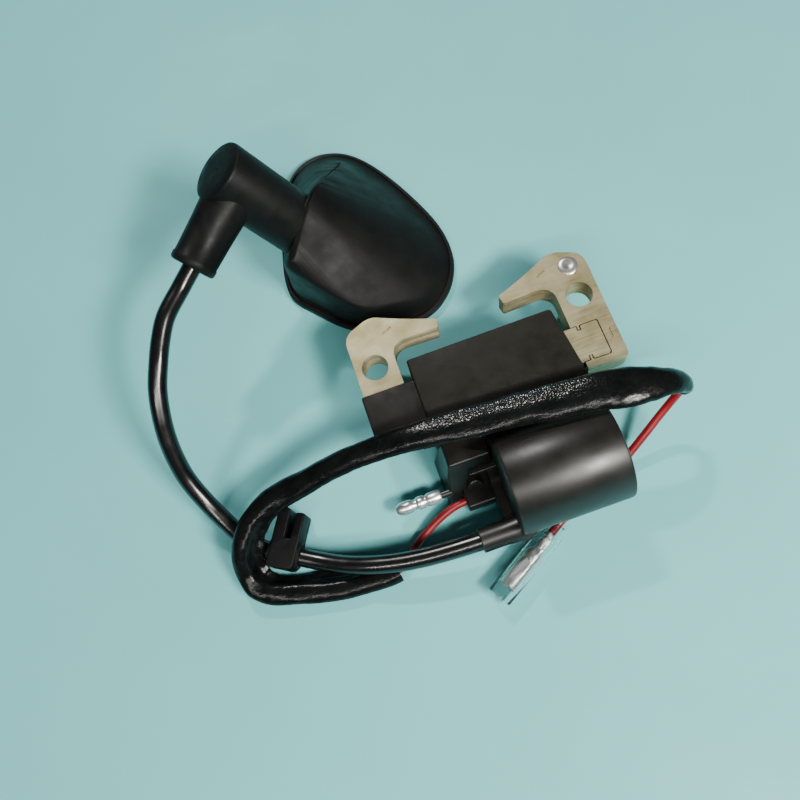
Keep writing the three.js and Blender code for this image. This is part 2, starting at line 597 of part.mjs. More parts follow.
// one oval round the wire; on the loop's inside a wide section thins into a flap along its underside
function sleeveRing(centre, tangent, [inside, outside, thickness], depth) {
  const across = new THREE.Vector3().crossVectors(tangent, new THREE.Vector3(0, 0, 1)).normalize();
  const over = new THREE.Vector3().crossVectors(across, tangent);
  const spread = THREE.MathUtils.clamp((inside - outside) / 2, 0, 1);
  return Array.from({ length: SLEEVE_SIDES }, (_, i) => {
    const angle = 2 * Math.PI * i / SLEEVE_SIDES;
    const reach = Math.cos(angle) > 0 ? inside : outside;
    const distance = Math.cos(angle) * (reach - depth);
    const flat = spread * THREE.MathUtils.smoothstep(distance, FLAP_START, FLAP_FULL);
    const loss = flat * (thickness - FLAP_THICKNESS);
    const half = (thickness - loss) / 2 - depth;
    return centre.clone()
      .addScaledVector(across, distance)
      .addScaledVector(over, Math.sin(angle) * half - loss / 2);
  });
}

function buildSleeve() {
  const route = new THREE.CatmullRomCurve3(RED_ROUTE, false, 'centripetal');
  const spans = RED_ROUTE.length - 1;
  const steps = (SLEEVE_LAST - SLEEVE_FIRST) * SLEEVE_STEPS;
  const outer = [];
  const inner = [];
  for (let step = 0; step <= steps; step += 1) {
    const station = step / SLEEVE_STEPS;
    const t = (SLEEVE_FIRST + station) / spans;
    const low = Math.min(Math.floor(station), SLEEVE_SECTIONS.length - 2);
    const blend = station - low;
    const section = [0, 1, 2].map((side) => THREE.MathUtils.lerp(
      SLEEVE_SECTIONS[low][side], SLEEVE_SECTIONS[low + 1][side], blend,
    ));
    const centre = route.getPoint(t);
    const tangent = route.getTangent(t);
    outer.push(sleeveRing(centre, tangent, section, 0));
    inner.push(sleeveRing(centre, tangent, section, SLEEVE_WALL));
  }
  add('harness_sleeve', skin([...outer.reverse(), ...inner], true), gloss);
}

// grommet on the ignition lead: two flanges with a slot between them for the cowling's edge
const GROMMET_ON_LEAD = new THREE.Vector3(-71.4, -37.6, 4.7);
const GROMMET_HEADING = Math.atan2(-43.1 + 35.2, -62 + 75.5);
const GROMMET_HALF_LENGTH = 3.9;
const GROMMET_BOTTOM = -4.4;
const GROMMET_TOP = 4.2;
const GROMMET_CORNER = 1.6;         // cut off beside the sleeve, so that the grommet slides past it
const PRONG_REACH = 11.8;
const SLOT_FLOOR = 4.2;

function buildGrommet() {
  const outline = new THREE.Shape();
  outline.moveTo(-GROMMET_HALF_LENGTH, -4.3);
  outline.lineTo(GROMMET_HALF_LENGTH - GROMMET_CORNER, -4.3);
  outline.lineTo(GROMMET_HALF_LENGTH, -4.3 + GROMMET_CORNER);
  outline.lineTo(GROMMET_HALF_LENGTH, PRONG_REACH - 1);
  outline.quadraticCurveTo(GROMMET_HALF_LENGTH, PRONG_REACH, 2.8, PRONG_REACH);
  outline.lineTo(1.4, PRONG_REACH - 0.4);
  outline.lineTo(1.2, SLOT_FLOOR);
  outline.lineTo(-0.3, SLOT_FLOOR);
  outline.lineTo(-0.4, PRONG_REACH);
  outline.quadraticCurveTo(-1.6, PRONG_REACH + 1, -3, PRONG_REACH + 0.4);
  outline.lineTo(-GROMMET_HALF_LENGTH, PRONG_REACH - 1.6);
  outline.closePath();
  const leadHole = rodX(HT_DIAMETER / 2 + 0.35, -10, 10, 0, 0, 16);
  const pad = cut(plate(outline, GROMMET_BOTTOM, GROMMET_TOP), [leadHole]);
  const grommet = add('lead_grommet', pad, rubber);
  grommet.rotation.z = GROMMET_HEADING;
  grommet.position.copy(GROMMET_ON_LEAD);
}

function buildBullets() {
  const female = [
    [3.7, 0], [3.7, 1.5], [8.6, 1.5], [9.6, 2.3], [21.5, 2.3], [21.5, 1.9], [10.6, 1.9], [10.6, 0],
  ];
  const cover = [
    [0, 1.7], [0, 2.4], [1.2, 3.1], [6.4, 3.5], [25.4, 3.5],
    [25.4, 2.9], [6.6, 2.9], [1.6, 2.5], [0.6, 1.7], [0, 1.7],
  ];
  for (const [name, profile, look] of [
    ['female_bullet', female, tinned],
    ['bullet_cover', cover, material('#e8f0ee', 0.2)],
  ]) {
    const mesh = add(name, turnedX(profile, 0, 0, 24), look);
    mesh.rotation.z = BULLET_HEADING * degrees;
    mesh.position.copy(BULLET_BACK);
  }

  const male = [
    [0, 0], [0, 1.9], [3.6, 1.9], [4.6, 1.6], [5, 1.9], [6.6, 1.9], [7, 1.5], [8.2, 1.5], [8.6, 1.95],
    [11.6, 1.95], [13, 1.2], [13, 0],
  ];
  const bullet = add('male_bullet', turnedX(male, 0, 0, 20), tinned);
  bullet.rotation.z = Math.PI;
  bullet.position.set(BLACK_EXIT.x - 2.4, BLACK_EXIT.y, BLACK_EXIT.z);
  const stub = rodX(WIRE_DIAMETER / 2, BLACK_EXIT.x - 2.2, BLACK_EXIT.x + 1, BLACK_EXIT.y, BLACK_EXIT.z, 8);
  add('black_lead', stub, black);
}

// ---------------------------------------------------------------- plug cap

const SPRING_TURNS = 4;
const SPRING_RADIUS = 1.9;
const SPRING_BOTTOM = -3.3;
const SPRING_HEIGHT = 1.9;

function capGroup() {
  const group = new THREE.Group();
  group.quaternion.copy(capTurn);
  group.position.copy(CAP_ELBOW);
  model.add(group);
  return group;
}

function buildPlugCap() {
  const cap = capGroup();
  const barrel = turnedZ([
    [0, BARREL_BOTTOM], [BARREL_RADIUS, BARREL_BOTTOM], [BARREL_RADIUS, BARREL_TOP - 0.9],
    [BARREL_RADIUS - 0.9, BARREL_TOP], [0, BARREL_TOP],
  ], 36);
  const neck = turnedX([
    [0, 0], [0, NECK_RADIUS + 0.7], [NECK_END - 1, NECK_RADIUS], [NECK_END, NECK_RADIUS - 0.8], [NECK_END, 0],
  ], 0, 0, 32);
  const plugBore = rodZ(5.6, BARREL_BOTTOM - 1, -13, 0, 0, 24);
  const clipBore = rodZ(3.8, -14, 3.5, 0, 0, 24);
  const leadBore = rodX(HT_DIAMETER / 2 + GAP, 7, NECK_END + 1, 0, 0, 24);
  const screwBore = rodX(1.4, 0, 8, 0, 0, 12);
  add('plug_cap_body', cut(join(barrel, [neck]), [plugBore, clipBore, leadBore, screwBore]), rubber, cap);

  add('plug_clip', turnedZ([
    [3.1, -20], [3.6, -20], [3.6, -11.5], [0.5, -11.5], [0.5, -12.1], [3.1, -12.1], [3.1, -20],
  ]), tinned, cap);
  add('cap_resistor', turnedZ([[0, -11.3], [2.2, -11.3], [2.2, -3.6], [0, -3.6]]), nylon, cap);

  const stepsPerTurn = 10;
  const springSteps = SPRING_TURNS * stepsPerTurn;
  const springPoints = Array.from({ length: springSteps + 1 }, (_, i) => {
    const angle = 2 * Math.PI * i / stepsPerTurn;
    const z = SPRING_BOTTOM + SPRING_HEIGHT * i / springSteps;
    return new THREE.Vector3(SPRING_RADIUS * Math.cos(angle), SPRING_RADIUS * Math.sin(angle), z);
  });
  add('cap_spring', cordGeometry(springPoints, 0.4, 6, springSteps), tinned, cap);

  const screwTip = LEAD_IN_CAP - 0.2;
  add('lead_screw', turnedX([
    [1.2, 0], [1.2, 1.1], [2, 1.1], [2, 0.8], [screwTip - 0.4, 0.8], [screwTip, 0.3], [screwTip, 0],
  ], 0, 0, 12), tinned, cap);
}

// ---------------------------------------------------------------- hood of the plug cap

// stations round the rim: rim x and y, the wall's shoulder x, y and z, and where its roof line ends on
// the ridge, from 0 at the near end over 1 at the barrel to 2 at the back
const HOOD_STATIONS = [
  [-47.4, 37.6, -44.4, 36.2, 26, 0], [-42.4, 31.2, -40.6, 31.6, 23.6, 0],
  [-35.6, 23.8, -34.8, 26.2, 19.4, 0.1], [-27.5, 18.6, -27.6, 21, 14, 0.3],
  [-17.5, 16.8, -17.8, 20.4, 10, 0.6], [-7.6, 18.2, -9.2, 21.8, 7, 0.85],
  [0, 24.4, -3, 27.4, 5.8, 1], [4, 33.5, 0, 35, 5.2, 1.1], [3.6, 45, -0.4, 44.6, 5, 1.25],
  [-1.4, 59.5, -5, 57.6, 5, 1.5], [-8.6, 73.6, -11.8, 71, 5, 1.8], [-16.2, 82.4, -18, 78.6, 5, 2],
  [-25, 85.6, -25.2, 81.4, 5, 2], [-33.4, 83.2, -31.6, 79.4, 5.4, 1.8], [-39.6, 76, -36.6, 73.4, 6, 1.5],
  [-43.8, 65, -40.2, 63.8, 7.5, 1.15], [-47, 53, -43.6, 52.4, 11, 0.8], [-48.4, 44, -45.2, 43.4, 18.5, 0.3],
];
const HOOD_LIP_HEIGHT = 3;
const HOOD_WALL = 2;
const HOOD_FOOT = 0.1;
const HOOD_PEAK = new THREE.Vector3(-31.2, 48.6, 34.6);
const HOOD_RIDGE = new THREE.CatmullRomCurve3([
  new THREE.Vector3(-41.6, 36.4, 28.6), HOOD_PEAK, new THREE.Vector3(-19.4, 73.2, 10.4),
]);
const RIDGE_HALF_WIDTH = 1.2;
const HOOD_CENTRE = new THREE.Vector2(-23, 50);
const HOOD_SIDES = 54;

// a closed smooth loop through one point for each station
function hoodLoop(pointAt) {
  const curve = new THREE.CatmullRomCurve3(HOOD_STATIONS.map(pointAt), true, 'catmullrom', 0.5);
  return curve.getPoints(HOOD_SIDES).slice(0, HOOD_SIDES);
}

function towardsCentre(x, y, z, inset) {
  const inward = HOOD_CENTRE.clone().sub(new THREE.Vector2(x, y)).normalize();
  return new THREE.Vector3(x + inward.x * inset, y + inward.y * inset, z);
}

function rimLoop(inset, z) {
  return hoodLoop(([x, y]) => towardsCentre(x, y, z, inset));
}

function shoulderLoop(inset, drop) {
  return hoodLoop(([, , x, y, z]) => towardsCentre(x, y, z - drop, inset));
}

// the ridge as a narrow closed loop, each point beside the place where its roof line ends
function ridgeLoop(shoulder, drop, halfWidth) {
  const places = hoodLoop((station) => new THREE.Vector3(station[5], 0, 0));
  return shoulder.map((point, i) => {
    const target = HOOD_RIDGE.getPoint(THREE.MathUtils.clamp(places[i].x, 0, 2) / 2);
    const away = new THREE.Vector3(point.x - target.x, point.y - target.y, 0).normalize();
    target.addScaledVector(away, halfWidth);
    target.z -= drop;
    return target;
  });
}

function buildHood() {
  const shoulder = shoulderLoop(0, 0);
  const innerShoulder = shoulderLoop(HOOD_WALL, HOOD_WALL);
  const outerRidge = ridgeLoop(shoulder, 0, RIDGE_HALF_WIDTH);
  const innerDrop = HOOD_WALL + 0.6;
  const innerRidge = ridgeLoop(innerShoulder, innerDrop, RIDGE_HALF_WIDTH / 2);
  const peak = (drop) => Array.from({ length: HOOD_SIDES }, () => new THREE.Vector3(
    HOOD_PEAK.x, HOOD_PEAK.y, HOOD_PEAK.z - drop,
  ));
  const rings = [
    peak(innerDrop), innerRidge, innerShoulder, rimLoop(3.2, HOOD_LIP_HEIGHT - 0.8), rimLoop(2.4, HOOD_FOOT),
    rimLoop(0, HOOD_FOOT), rimLoop(0, HOOD_LIP_HEIGHT), rimLoop(1.6, HOOD_LIP_HEIGHT + 0.4),
    shoulder, outerRidge, peak(0),
  ];
  const shell = dropCollapsed(mergeVertices(skin(rings), 1e-4));
  const barrelHole = rodZ(BARREL_RADIUS + GAP, BARREL_BOTTOM - 8, BARREL_TOP, 0, 0, 36)
    .applyQuaternion(capTurn)
    .translate(CAP_ELBOW.x, CAP_ELBOW.y, CAP_ELBOW.z);
  add('cap_hood', cut(shell, [barrelHole]), rubber);
}

function dropCollapsed(geometry) {
  const source = geometry.index.array;
  const kept = [];
  for (let i = 0; i < source.length; i += 3) {
    const [a, b, c] = source.slice(i, i + 3);
    if (a !== b && b !== c && a !== c) kept.push(a, b, c);
  }
  geometry.setIndex(kept);
  return geometry;
}

// ---------------------------------------------------------------- assembly

buildCore();
buildExciter();
buildExciterCase();
buildModuleCase();
buildElectronics();
buildTransformer();
buildHtLead();
buildRedLead();
buildSleeve();
buildGrommet();
buildBullets();
buildPlugCap();
buildHood();

// the origin sits under the middle of the coil itself, leads and cap left out
model.position.set(-COIL_MIDDLE_X, -COIL_MIDDLE_Y, 0);
const part = new THREE.Group();
part.add(model);

export default part;
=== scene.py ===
"""Looks of the small-engine ignition coil: camera, leads, every visible piece and its material.

Lengths in the tables are millimetres in the coil's own drawing, where X runs from bolt hole to bolt hole
and z = 0 is the table. at() turns them into metres in the shared frame.
"""

import json
import math
import random

import bmesh
import bpy
from mathutils import Matrix, Vector, noise
from mathutils.geometry import tessellate_polygon


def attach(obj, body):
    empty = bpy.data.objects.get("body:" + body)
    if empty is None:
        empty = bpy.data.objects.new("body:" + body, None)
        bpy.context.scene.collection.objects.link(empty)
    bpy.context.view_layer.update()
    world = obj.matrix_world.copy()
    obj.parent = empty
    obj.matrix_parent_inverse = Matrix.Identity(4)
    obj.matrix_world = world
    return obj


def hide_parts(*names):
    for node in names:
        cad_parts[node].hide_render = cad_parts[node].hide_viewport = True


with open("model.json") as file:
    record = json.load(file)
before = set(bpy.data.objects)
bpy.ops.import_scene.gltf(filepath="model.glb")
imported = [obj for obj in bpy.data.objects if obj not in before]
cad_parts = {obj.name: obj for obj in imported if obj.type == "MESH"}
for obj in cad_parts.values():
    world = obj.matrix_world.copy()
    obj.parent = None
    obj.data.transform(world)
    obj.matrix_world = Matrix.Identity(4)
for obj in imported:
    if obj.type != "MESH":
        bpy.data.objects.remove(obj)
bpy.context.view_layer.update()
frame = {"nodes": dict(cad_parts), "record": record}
dice = random.Random(7)

MM = 0.001
DRAWING = Matrix.Scale(MM, 4) @ Matrix.Translation((0.35, 21.25, 0))

# laminated core
STACK_BOTTOM = 13
STACK_TOP = 20
LAMINATIONS = 14
HOLE_X = 30
HOLE_RADIUS = 3.7
BAR_HIGH_Y = -8.7
BAR_LOW_Y = -18.9
LEG_INNER_X = 23.9
LEG_OUTER_X = 35.7
LEG_FOOT_Y = -21.2
RIVET = (30.4, 9.2)

# module
CYL_Y = -42.8
CYL_Z = 16.7
CYL_RADIUS = 13.8
CYL_LEFT_X = -8.2
CYL_RIGHT_X = 22.6
BOX_TOP = 16
BOSS = (-19, -53.1, 9.4)
BOSS_RADIUS = 3.4
RED_EXIT = (-18.8, -40.6, 4)
BLACK_EXIT = (-22.6, -36.9, 5.2)

# leads
HT_DIAMETER = 5.2
WIRE_DIAMETER = 2.3
BULLET_HEADING = math.radians(210)
BULLET_BACK = Vector((2.6, -55.3, 3.8))
BULLET_WAY = Vector((math.cos(BULLET_HEADING), math.sin(BULLET_HEADING), 0))

# plug cap
CAP_ELBOW = (-48.3, 54.4, 44.2)
CAP = (
    Matrix.Translation(CAP_ELBOW)
    @ Matrix.Rotation(math.radians(149.5), 4, "Z")
    @ Matrix.Rotation(math.radians(34), 4, "Y")
    @ Matrix.Rotation(math.radians(67), 4, "Z")
)
BARREL_RADIUS = 8.75
BARREL_TOP = 7
BARREL_BOTTOM = -39
NECK_END = 26


def at(x, y, z):
    return DRAWING @ Vector((x, y, z))


# ---------------------------------------------------------------- camera, light and table

CAMERA_EYE = (-24.9, -83.1, 225.9)
CAMERA_RIGHT = Vector((0.9409, -0.3175, -0.1180))
CAMERA_FORWARD = Vector((-0.0076, 0.3288, -0.9444))
LIGHT_TARGET = (-10, 0, 0)


def make_camera():
    data = bpy.data.cameras.new("camera")
    data.lens = 36
    data.sensor_width = 36
    data.clip_start = 0.01
    camera = bpy.data.objects.new("camera", data)
    bpy.context.scene.collection.objects.link(camera)
    up = CAMERA_RIGHT.cross(CAMERA_FORWARD)
    turn = Matrix((CAMERA_RIGHT, up, -CAMERA_FORWARD)).transposed().to_4x4()
    camera.matrix_world = Matrix.Translation(at(*CAMERA_EYE)) @ turn
    bpy.context.scene.camera = camera


def add_light(name, direction, distance, width, height, power, color):
    """A flat lamp that faces the coil from a direction; lengths are metres and power is watts."""
    data = bpy.data.lights.new(name, "AREA")
    data.shape = "RECTANGLE"
    data.size = width
    data.size_y = height
    data.energy = power
    data.color = color
    lamp = bpy.data.objects.new(name, data)
    bpy.context.scene.collection.objects.link(lamp)
    back = Vector(direction).normalized()
    lamp.location = at(*LIGHT_TARGET) + back * distance
    lamp.rotation_mode = "QUATERNION"
    lamp.rotation_quaternion = (-back).to_track_quat("-Z", "Y")


def make_light():
    add_light("key", (0.5, -0.72, 1), 0.62, 0.16, 0.09, 5, (1, 0.97, 0.91))
    add_light("tube", (-0.1, -0.74, 1), 0.9, 1, 0.03, 6, (1, 0.98, 0.92))
    add_light("back lamp", (-0.05, 0.85, 1), 0.9, 0.1, 0.03, 4, (1, 0.99, 0.96))
    world = bpy.data.worlds.new("room")
    world.use_nodes = True
    background = world.node_tree.nodes["Background"]
    background.inputs["Color"].default_value = (0.75, 0.9, 1, 1)
    background.inputs["Strength"].default_value = 0.055
    bpy.context.scene.world = world


# ---------------------------------------------------------------- materials

LOOKS = {}


class Nodes:
    """A short way to write a material's nodes."""

    def __init__(self, name):
        self.material = bpy.data.materials.new(name)
        self.material.use_nodes = True
        self.tree = self.material.node_tree
        self.shader = self.tree.nodes["Principled BSDF"]
        self.place = self.tree.nodes.new("ShaderNodeTexCoord").outputs["Object"]

    def make(self, kind, **inputs):
        node = self.tree.nodes.new(kind)
        for name, value in inputs.items():
            socket = node.inputs[name.replace("_", " ")]
            if isinstance(value, bpy.types.NodeSocket):
                self.tree.links.new(value, socket)
            else:
                socket.default_value = value
        return node

    def link(self, output, socket):
        self.tree.links.new(output, socket)

    def noise(self, size_mm, detail=4, rough=0.55, stretch=(1, 1, 1)):
        scaled = self.make("ShaderNodeMapping", Vector=self.place, Scale=stretch)
        return self.make(
            "ShaderNodeTexNoise", Vector=scaled.outputs["Vector"],
            Scale=1 / (size_mm * MM), Detail=detail, Roughness=rough,
        ).outputs["Fac"]

    def ramp(self, value, low, high, start=0.0, end=1.0):
        node = self.make("ShaderNodeMapRange", Value=value)
        node.inputs["From Min"].default_value = low
        node.inputs["From Max"].default_value = high
        node.inputs["To Min"].default_value = start
        node.inputs["To Max"].default_value = end
        return node.outputs["Result"]

    def mix(self, factor, first, second):
        node = self.tree.nodes.new("ShaderNodeMix")
        node.data_type = "RGBA"
        for socket, value in ((node.inputs[0], factor), (node.inputs[6], first), (node.inputs[7], second)):
            if isinstance(value, bpy.types.NodeSocket):
                self.link(value, socket)
            elif isinstance(value, tuple):
                socket.default_value = (*value, 1)
            else:
                socket.default_value = value
        return node.outputs[2]

    def times(self, first, second):
        node = self.make("ShaderNodeMath")
        node.operation = "MULTIPLY"
        for value, socket in ((first, node.inputs[0]), (second, node.inputs[1])):
            if isinstance(value, bpy.types.NodeSocket):
                self.link(value, socket)
            else:
                socket.default_value = value
        return node.outputs[0]

    def bump(self, height, strength, distance_mm, under=None):
        node = self.make("ShaderNodeBump", Height=height, Strength=strength, Distance=distance_mm * MM)
        if under is not None:
            self.link(under, node.inputs["Normal"])
        return node.outputs["Normal"]

    def worn_edges(self, low=0.52, high=0.62):
        geometry = self.tree.nodes.new("ShaderNodeNewGeometry")
        return self.ramp(geometry.outputs["Pointiness"], low, high)


def surface(
    name, color, roughness, metallic=0.0, mottle=0.25, mottle_mm=6, grain=0.15, grain_mm=0.35,
    swing=0.1, wear=0.35, dust=0.0, sheen=0.5,
):
    """A moulded, cast or drawn surface: mottled colour, grain, uneven gloss, worn edges and dust."""
    n = Nodes(name)
    cloud = n.noise(mottle_mm)
    fine = n.noise(grain_mm, detail=6, rough=0.65)
    darker = tuple(c * (1 - mottle) for c in color)
    lighter = tuple(min(1, c * (1 + mottle)) for c in color)
    base = n.mix(n.ramp(cloud, 0.3, 0.7), darker, lighter)
    rubbed = tuple(min(1, c * 1.9 + 0.01) for c in color)
    base = n.mix(n.times(n.worn_edges(), wear), base, rubbed)
    if dust:
        specks = n.ramp(n.noise(0.9, detail=8, rough=0.75), 0.62, 0.74, 0, dust)
        base = n.mix(specks, base, (0.3, 0.28, 0.24))
    n.link(base, n.shader.inputs["Base Color"])
    gloss = n.ramp(n.noise(mottle_mm * 0.6, detail=5), 0.3, 0.7, roughness - swing, roughness + swing)
    n.link(gloss, n.shader.inputs["Roughness"])
    n.shader.inputs["Metallic"].default_value = metallic
    n.shader.inputs["Specular IOR Level"].default_value = sheen
    broad = n.bump(cloud, 0.12, 0.3)
    n.link(n.bump(fine, grain, 0.08, broad), n.shader.inputs["Normal"])
    LOOKS[name] = n.material


def core_surface():
    """Lamination steel: warm satin metal with drawing scratches and faint stains."""
    n = Nodes("core_steel")
    stains = n.noise(7, detail=5)
    scratches = n.noise(0.5, detail=3, stretch=(0.06, 1, 1))
    base = n.mix(n.ramp(stains, 0.35, 0.65), (0.33, 0.285, 0.15), (0.5, 0.45, 0.28))
    base = n.mix(n.ramp(scratches, 0.55, 0.8, 0, 0.35), base, (0.26, 0.22, 0.12))
    spots = n.ramp(n.noise(1.4, detail=7, rough=0.7), 0.66, 0.74, 0, 0.5)
    base = n.mix(spots, base, (0.32, 0.27, 0.2))
    n.link(base, n.shader.inputs["Base Color"])
    n.link(n.ramp(scratches, 0.3, 0.7, 0.34, 0.52), n.shader.inputs["Roughness"])
    n.shader.inputs["Metallic"].default_value = 0.75
    n.link(n.bump(scratches, 0.15, 0.05), n.shader.inputs["Normal"])
    LOOKS["core_steel"] = n.material


def sleeve_surface():
    """Thin glossy vinyl, creased; over the coil it is crazed into small bright facets."""
    n = Nodes("sleeve_vinyl")
    creases = n.noise(3.2, detail=4, stretch=(0.45, 1, 1))
    crackle = n.make("ShaderNodeTexVoronoi", Vector=n.place, Scale=1 / (0.6 * MM)).outputs["Distance"]
    wobble = n.noise(0.7, detail=5, rough=0.6)
    along = n.make("ShaderNodeSeparateXYZ", Vector=n.place).outputs["X"]
    geometry = n.tree.nodes.new("ShaderNodeNewGeometry")
    facing = n.make("ShaderNodeSeparateXYZ", Vector=geometry.outputs["Normal"])
    # crazed only over the coil, between these two places along X in metres, and on the side that leans back
    crazed = n.times(n.ramp(along, -0.03, -0.012), n.ramp(along, 0.012, 0.026, 1, 0))
    crazed = n.times(crazed, n.ramp(facing.outputs["Y"], -0.1, 0.25))
    base = n.mix(n.ramp(creases, 0.3, 0.7), (0.002, 0.0025, 0.0028), (0.006, 0.0065, 0.0065))
    n.link(base, n.shader.inputs["Base Color"])
    n.link(n.ramp(wobble, 0.3, 0.7, 0.18, 0.3), n.shader.inputs["Roughness"])
    n.link(n.ramp(crazed, 0, 1, 0.2, 1), n.shader.inputs["Specular IOR Level"])
    broad = n.bump(creases, 0.35, 1)
    small = n.bump(wobble, 0.1, 0.2, broad)
    facets = n.make("ShaderNodeBump", Height=crackle, Distance=0.35 * MM, Normal=small)
    n.link(n.ramp(crazed, 0, 1, 0.01, 0.6), facets.inputs["Strength"])
    n.link(facets.outputs["Normal"], n.shader.inputs["Normal"])
    LOOKS["sleeve_vinyl"] = n.material


def clear_surface():
    """Clear soft vinyl, slightly cloudy, thin enough to see the connector through it."""
    n = Nodes("clear_vinyl")
    n.shader.inputs["Base Color"].default_value = (0.98, 1, 1, 1)
    n.shader.inputs["Transmission Weight"].default_value = 1
    n.shader.inputs["IOR"].default_value = 1.3
    cloud = n.noise(2.5)
    n.link(n.ramp(cloud, 0.3, 0.7, 0.02, 0.08), n.shader.inputs["Roughness"])
    n.link(n.bump(cloud, 0.15, 0.3), n.shader.inputs["Normal"])
    LOOKS["clear_vinyl"] = n.material


def make_materials():
    core_surface()
    sleeve_surface()
    clear_surface()
    surface("rivet_steel", (0.62, 0.6, 0.55), 0.3, metallic=0.9, mottle=0.1, wear=0.2)
    surface("case_plastic", (0.0095, 0.009, 0.0062), 0.5, mottle=0.3, grain=0.25, wear=0.4,
            dust=0.04, sheen=0.22)
    # the case's plastic painted darker for the shoulder: painted shade on the shoulder, not a different
    # plastic
    surface("case_plastic_painted_shade", (0.006, 0.0055, 0.0045), 0.5, grain=0.25, wear=0.4, dust=0.05, sheen=0.25)
    surface("module_plastic", (0.0065, 0.006, 0.005), 0.38, mottle_mm=9, grain=0.1, swing=0.05, wear=0.3)
    surface("potting_resin", (0.014, 0.011, 0.008), 0.4, mottle=0.35, mottle_mm=3, grain=0.4, grain_mm=1.2)
    surface("lead_jacket", (0.003, 0.003, 0.0032), 0.24, mottle=0.2, grain=0.06, swing=0.05, sheen=0.7)
    surface("red_insulation", (0.2, 0.004, 0.008), 0.34, mottle=0.15, grain=0.1)
    surface("black_insulation", (0.006, 0.006, 0.006), 0.35, grain=0.1)
    surface("grommet_rubber", (0.0035, 0.004, 0.004), 0.5, grain=0.25, wear=0.3, dust=0.04, sheen=0.15)
    surface("cap_rubber", (0.0045, 0.005, 0.005), 0.46, mottle=0.3, grain=0.2, wear=0.3,
            dust=0.04, sheen=0.14)
    surface("hood_rubber", (0.0055, 0.0056, 0.0055), 0.5, mottle=0.25, mottle_mm=12, grain=0.25, wear=0.4,
            dust=0.05, sheen=0.14)
    surface("tinned_brass", (0.95, 0.94, 0.91), 0.33, metallic=0.95, mottle=0.08, grain=0.08,
            swing=0.06, wear=0.1)
    surface("bobbin_nylon", (0.7, 0.64, 0.5), 0.5)
    surface("magnet_wire", (0.42, 0.16, 0.06), 0.35, metallic=0.4, grain=0.5)
    surface("board", (0.05, 0.2, 0.08), 0.45)
    surface("capacitor_dip", (0.36, 0.12, 0.04), 0.3)
    surface("component_black", (0.02, 0.02, 0.022), 0.4)
    surface("resistor_body", (0.5, 0.38, 0.2), 0.4)
    surface("ferrite", (0.05, 0.05, 0.055), 0.5, metallic=0.3)
    surface("ceramic_body", (0.7, 0.66, 0.58), 0.45)
    surface("spring_steel", (0.6, 0.6, 0.6), 0.3, metallic=1.0)
    surface("table_paint", (0.165, 0.53, 0.55), 0.6, mottle=0.03, mottle_mm=60, grain=0.05,
            wear=0.0, sheen=0.3)


# ---------------------------------------------------------------- building shapes

class Shape:
    """Closed shells collected into one piece, in millimetres."""

    def __init__(self):
        self.verts = []
        self.faces = []

    def add(self, verts, faces, place=None):
        first = len(self.verts)
        self.verts += [place @ v if place else v for v in verts]
        self.faces += [[first + i for i in face] for face in faces]
        return self

    def rings(self, rings, place=None, loop=False):
        """Skins rings of points, each with the same count, and closes both ends unless they join."""
        count = len(rings[0])
        bands = len(rings) if loop else len(rings) - 1
        faces = []
        for band in range(bands):
            low, high = band * count, (band + 1) % len(rings) * count
            for i in range(count):
                j = (i + 1) % count
                faces.append([low + i, low + j, high + j, high + i])
        if not loop:
            faces.append(list(range(count))[::-1])
            faces.append([(len(rings) - 1) * count + i for i in range(count)])
        return self.add([v for ring in rings for v in ring], faces, place)

    def turned(self, profile, place=None, sides=48, loop=False):
        """A piece turned about local X; its profile is a list of (distance along X, radius)."""
        angles = [2 * math.pi * i / sides for i in range(sides)]
        rings = []
        for x, radius in profile:
            radius = max(radius, 1e-3)
            rings.append([Vector((x, radius * math.cos(a), radius * math.sin(a))) for a in angles])
        return self.rings(rings, place, loop)

    def slab(self, outline, z0, z1, edge=0.5, foot_edge=0.2, place=None):
        """An upright extrusion of a counter-clockwise outline with rounded top and bottom edges."""
        rings = []
        for z, turn, radius in ((z0, -1, foot_edge), (z1, 1, edge)):
            angles = [math.pi / 2 * step / 4 for step in range(5)]
            for angle in angles[::-1] if turn < 0 else angles:
                ring = inset(outline, radius * (1 - math.cos(angle)))
                height = z - turn * radius * (1 - math.sin(angle))
                rings.append([Vector((p.x, p.y, height)) for p in ring])
        return self.rings(rings, place)

    def piece(self, name, look, body, nodes=(), finish=None, place=DRAWING, sharp=38):
        mesh = bpy.data.meshes.new(name)
        mesh.from_pydata([place @ v for v in self.verts], [], self.faces)
        work = bmesh.new()
        work.from_mesh(mesh)
        bmesh.ops.remove_doubles(work, verts=work.verts, dist=2e-6)
        bmesh.ops.recalc_face_normals(work, faces=work.faces)
        work.to_mesh(mesh)
        work.free()
        mesh.shade_smooth()
        mesh.set_sharp_from_angle(angle=math.radians(sharp))
        return show(bpy.data.objects.new(name, mesh), look, body, nodes)


def show(thing, look, body, nodes=()):
    if thing.name not in bpy.context.scene.collection.objects:
        bpy.context.scene.collection.objects.link(thing)
    thing.data.materials.clear()
    thing.data.materials.append(LOOKS[look])
    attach(thing, body)
    if nodes:
        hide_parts(*nodes)
    return thing


def inset(outline, amount):
    """The outline moved inwards; its points run counter-clockwise."""
    moved = []
    for i, point in enumerate(outline):
        before = (point - outline[i - 1]).normalized()
        after = (outline[(i + 1) % len(outline)] - point).normalized()
        inward = Vector((-(before.y + after.y), before.x + after.x)).normalized()
        stretch = 1 / max(0.6, math.sqrt((1 + before.dot(after)) / 2))
        moved.append(point + inward * amount * stretch)
    return moved


def bend(start, control, end, steps=6):
    """Points of a quadratic curve after its start."""
    points = []
    for step in range(1, steps + 1):
        t = step / steps
        points.append(tuple(
            (1 - t) ** 2 * a + 2 * t * (1 - t) * c + t * t * b for a, c, b in zip(start, control, end)
        ))
    return points


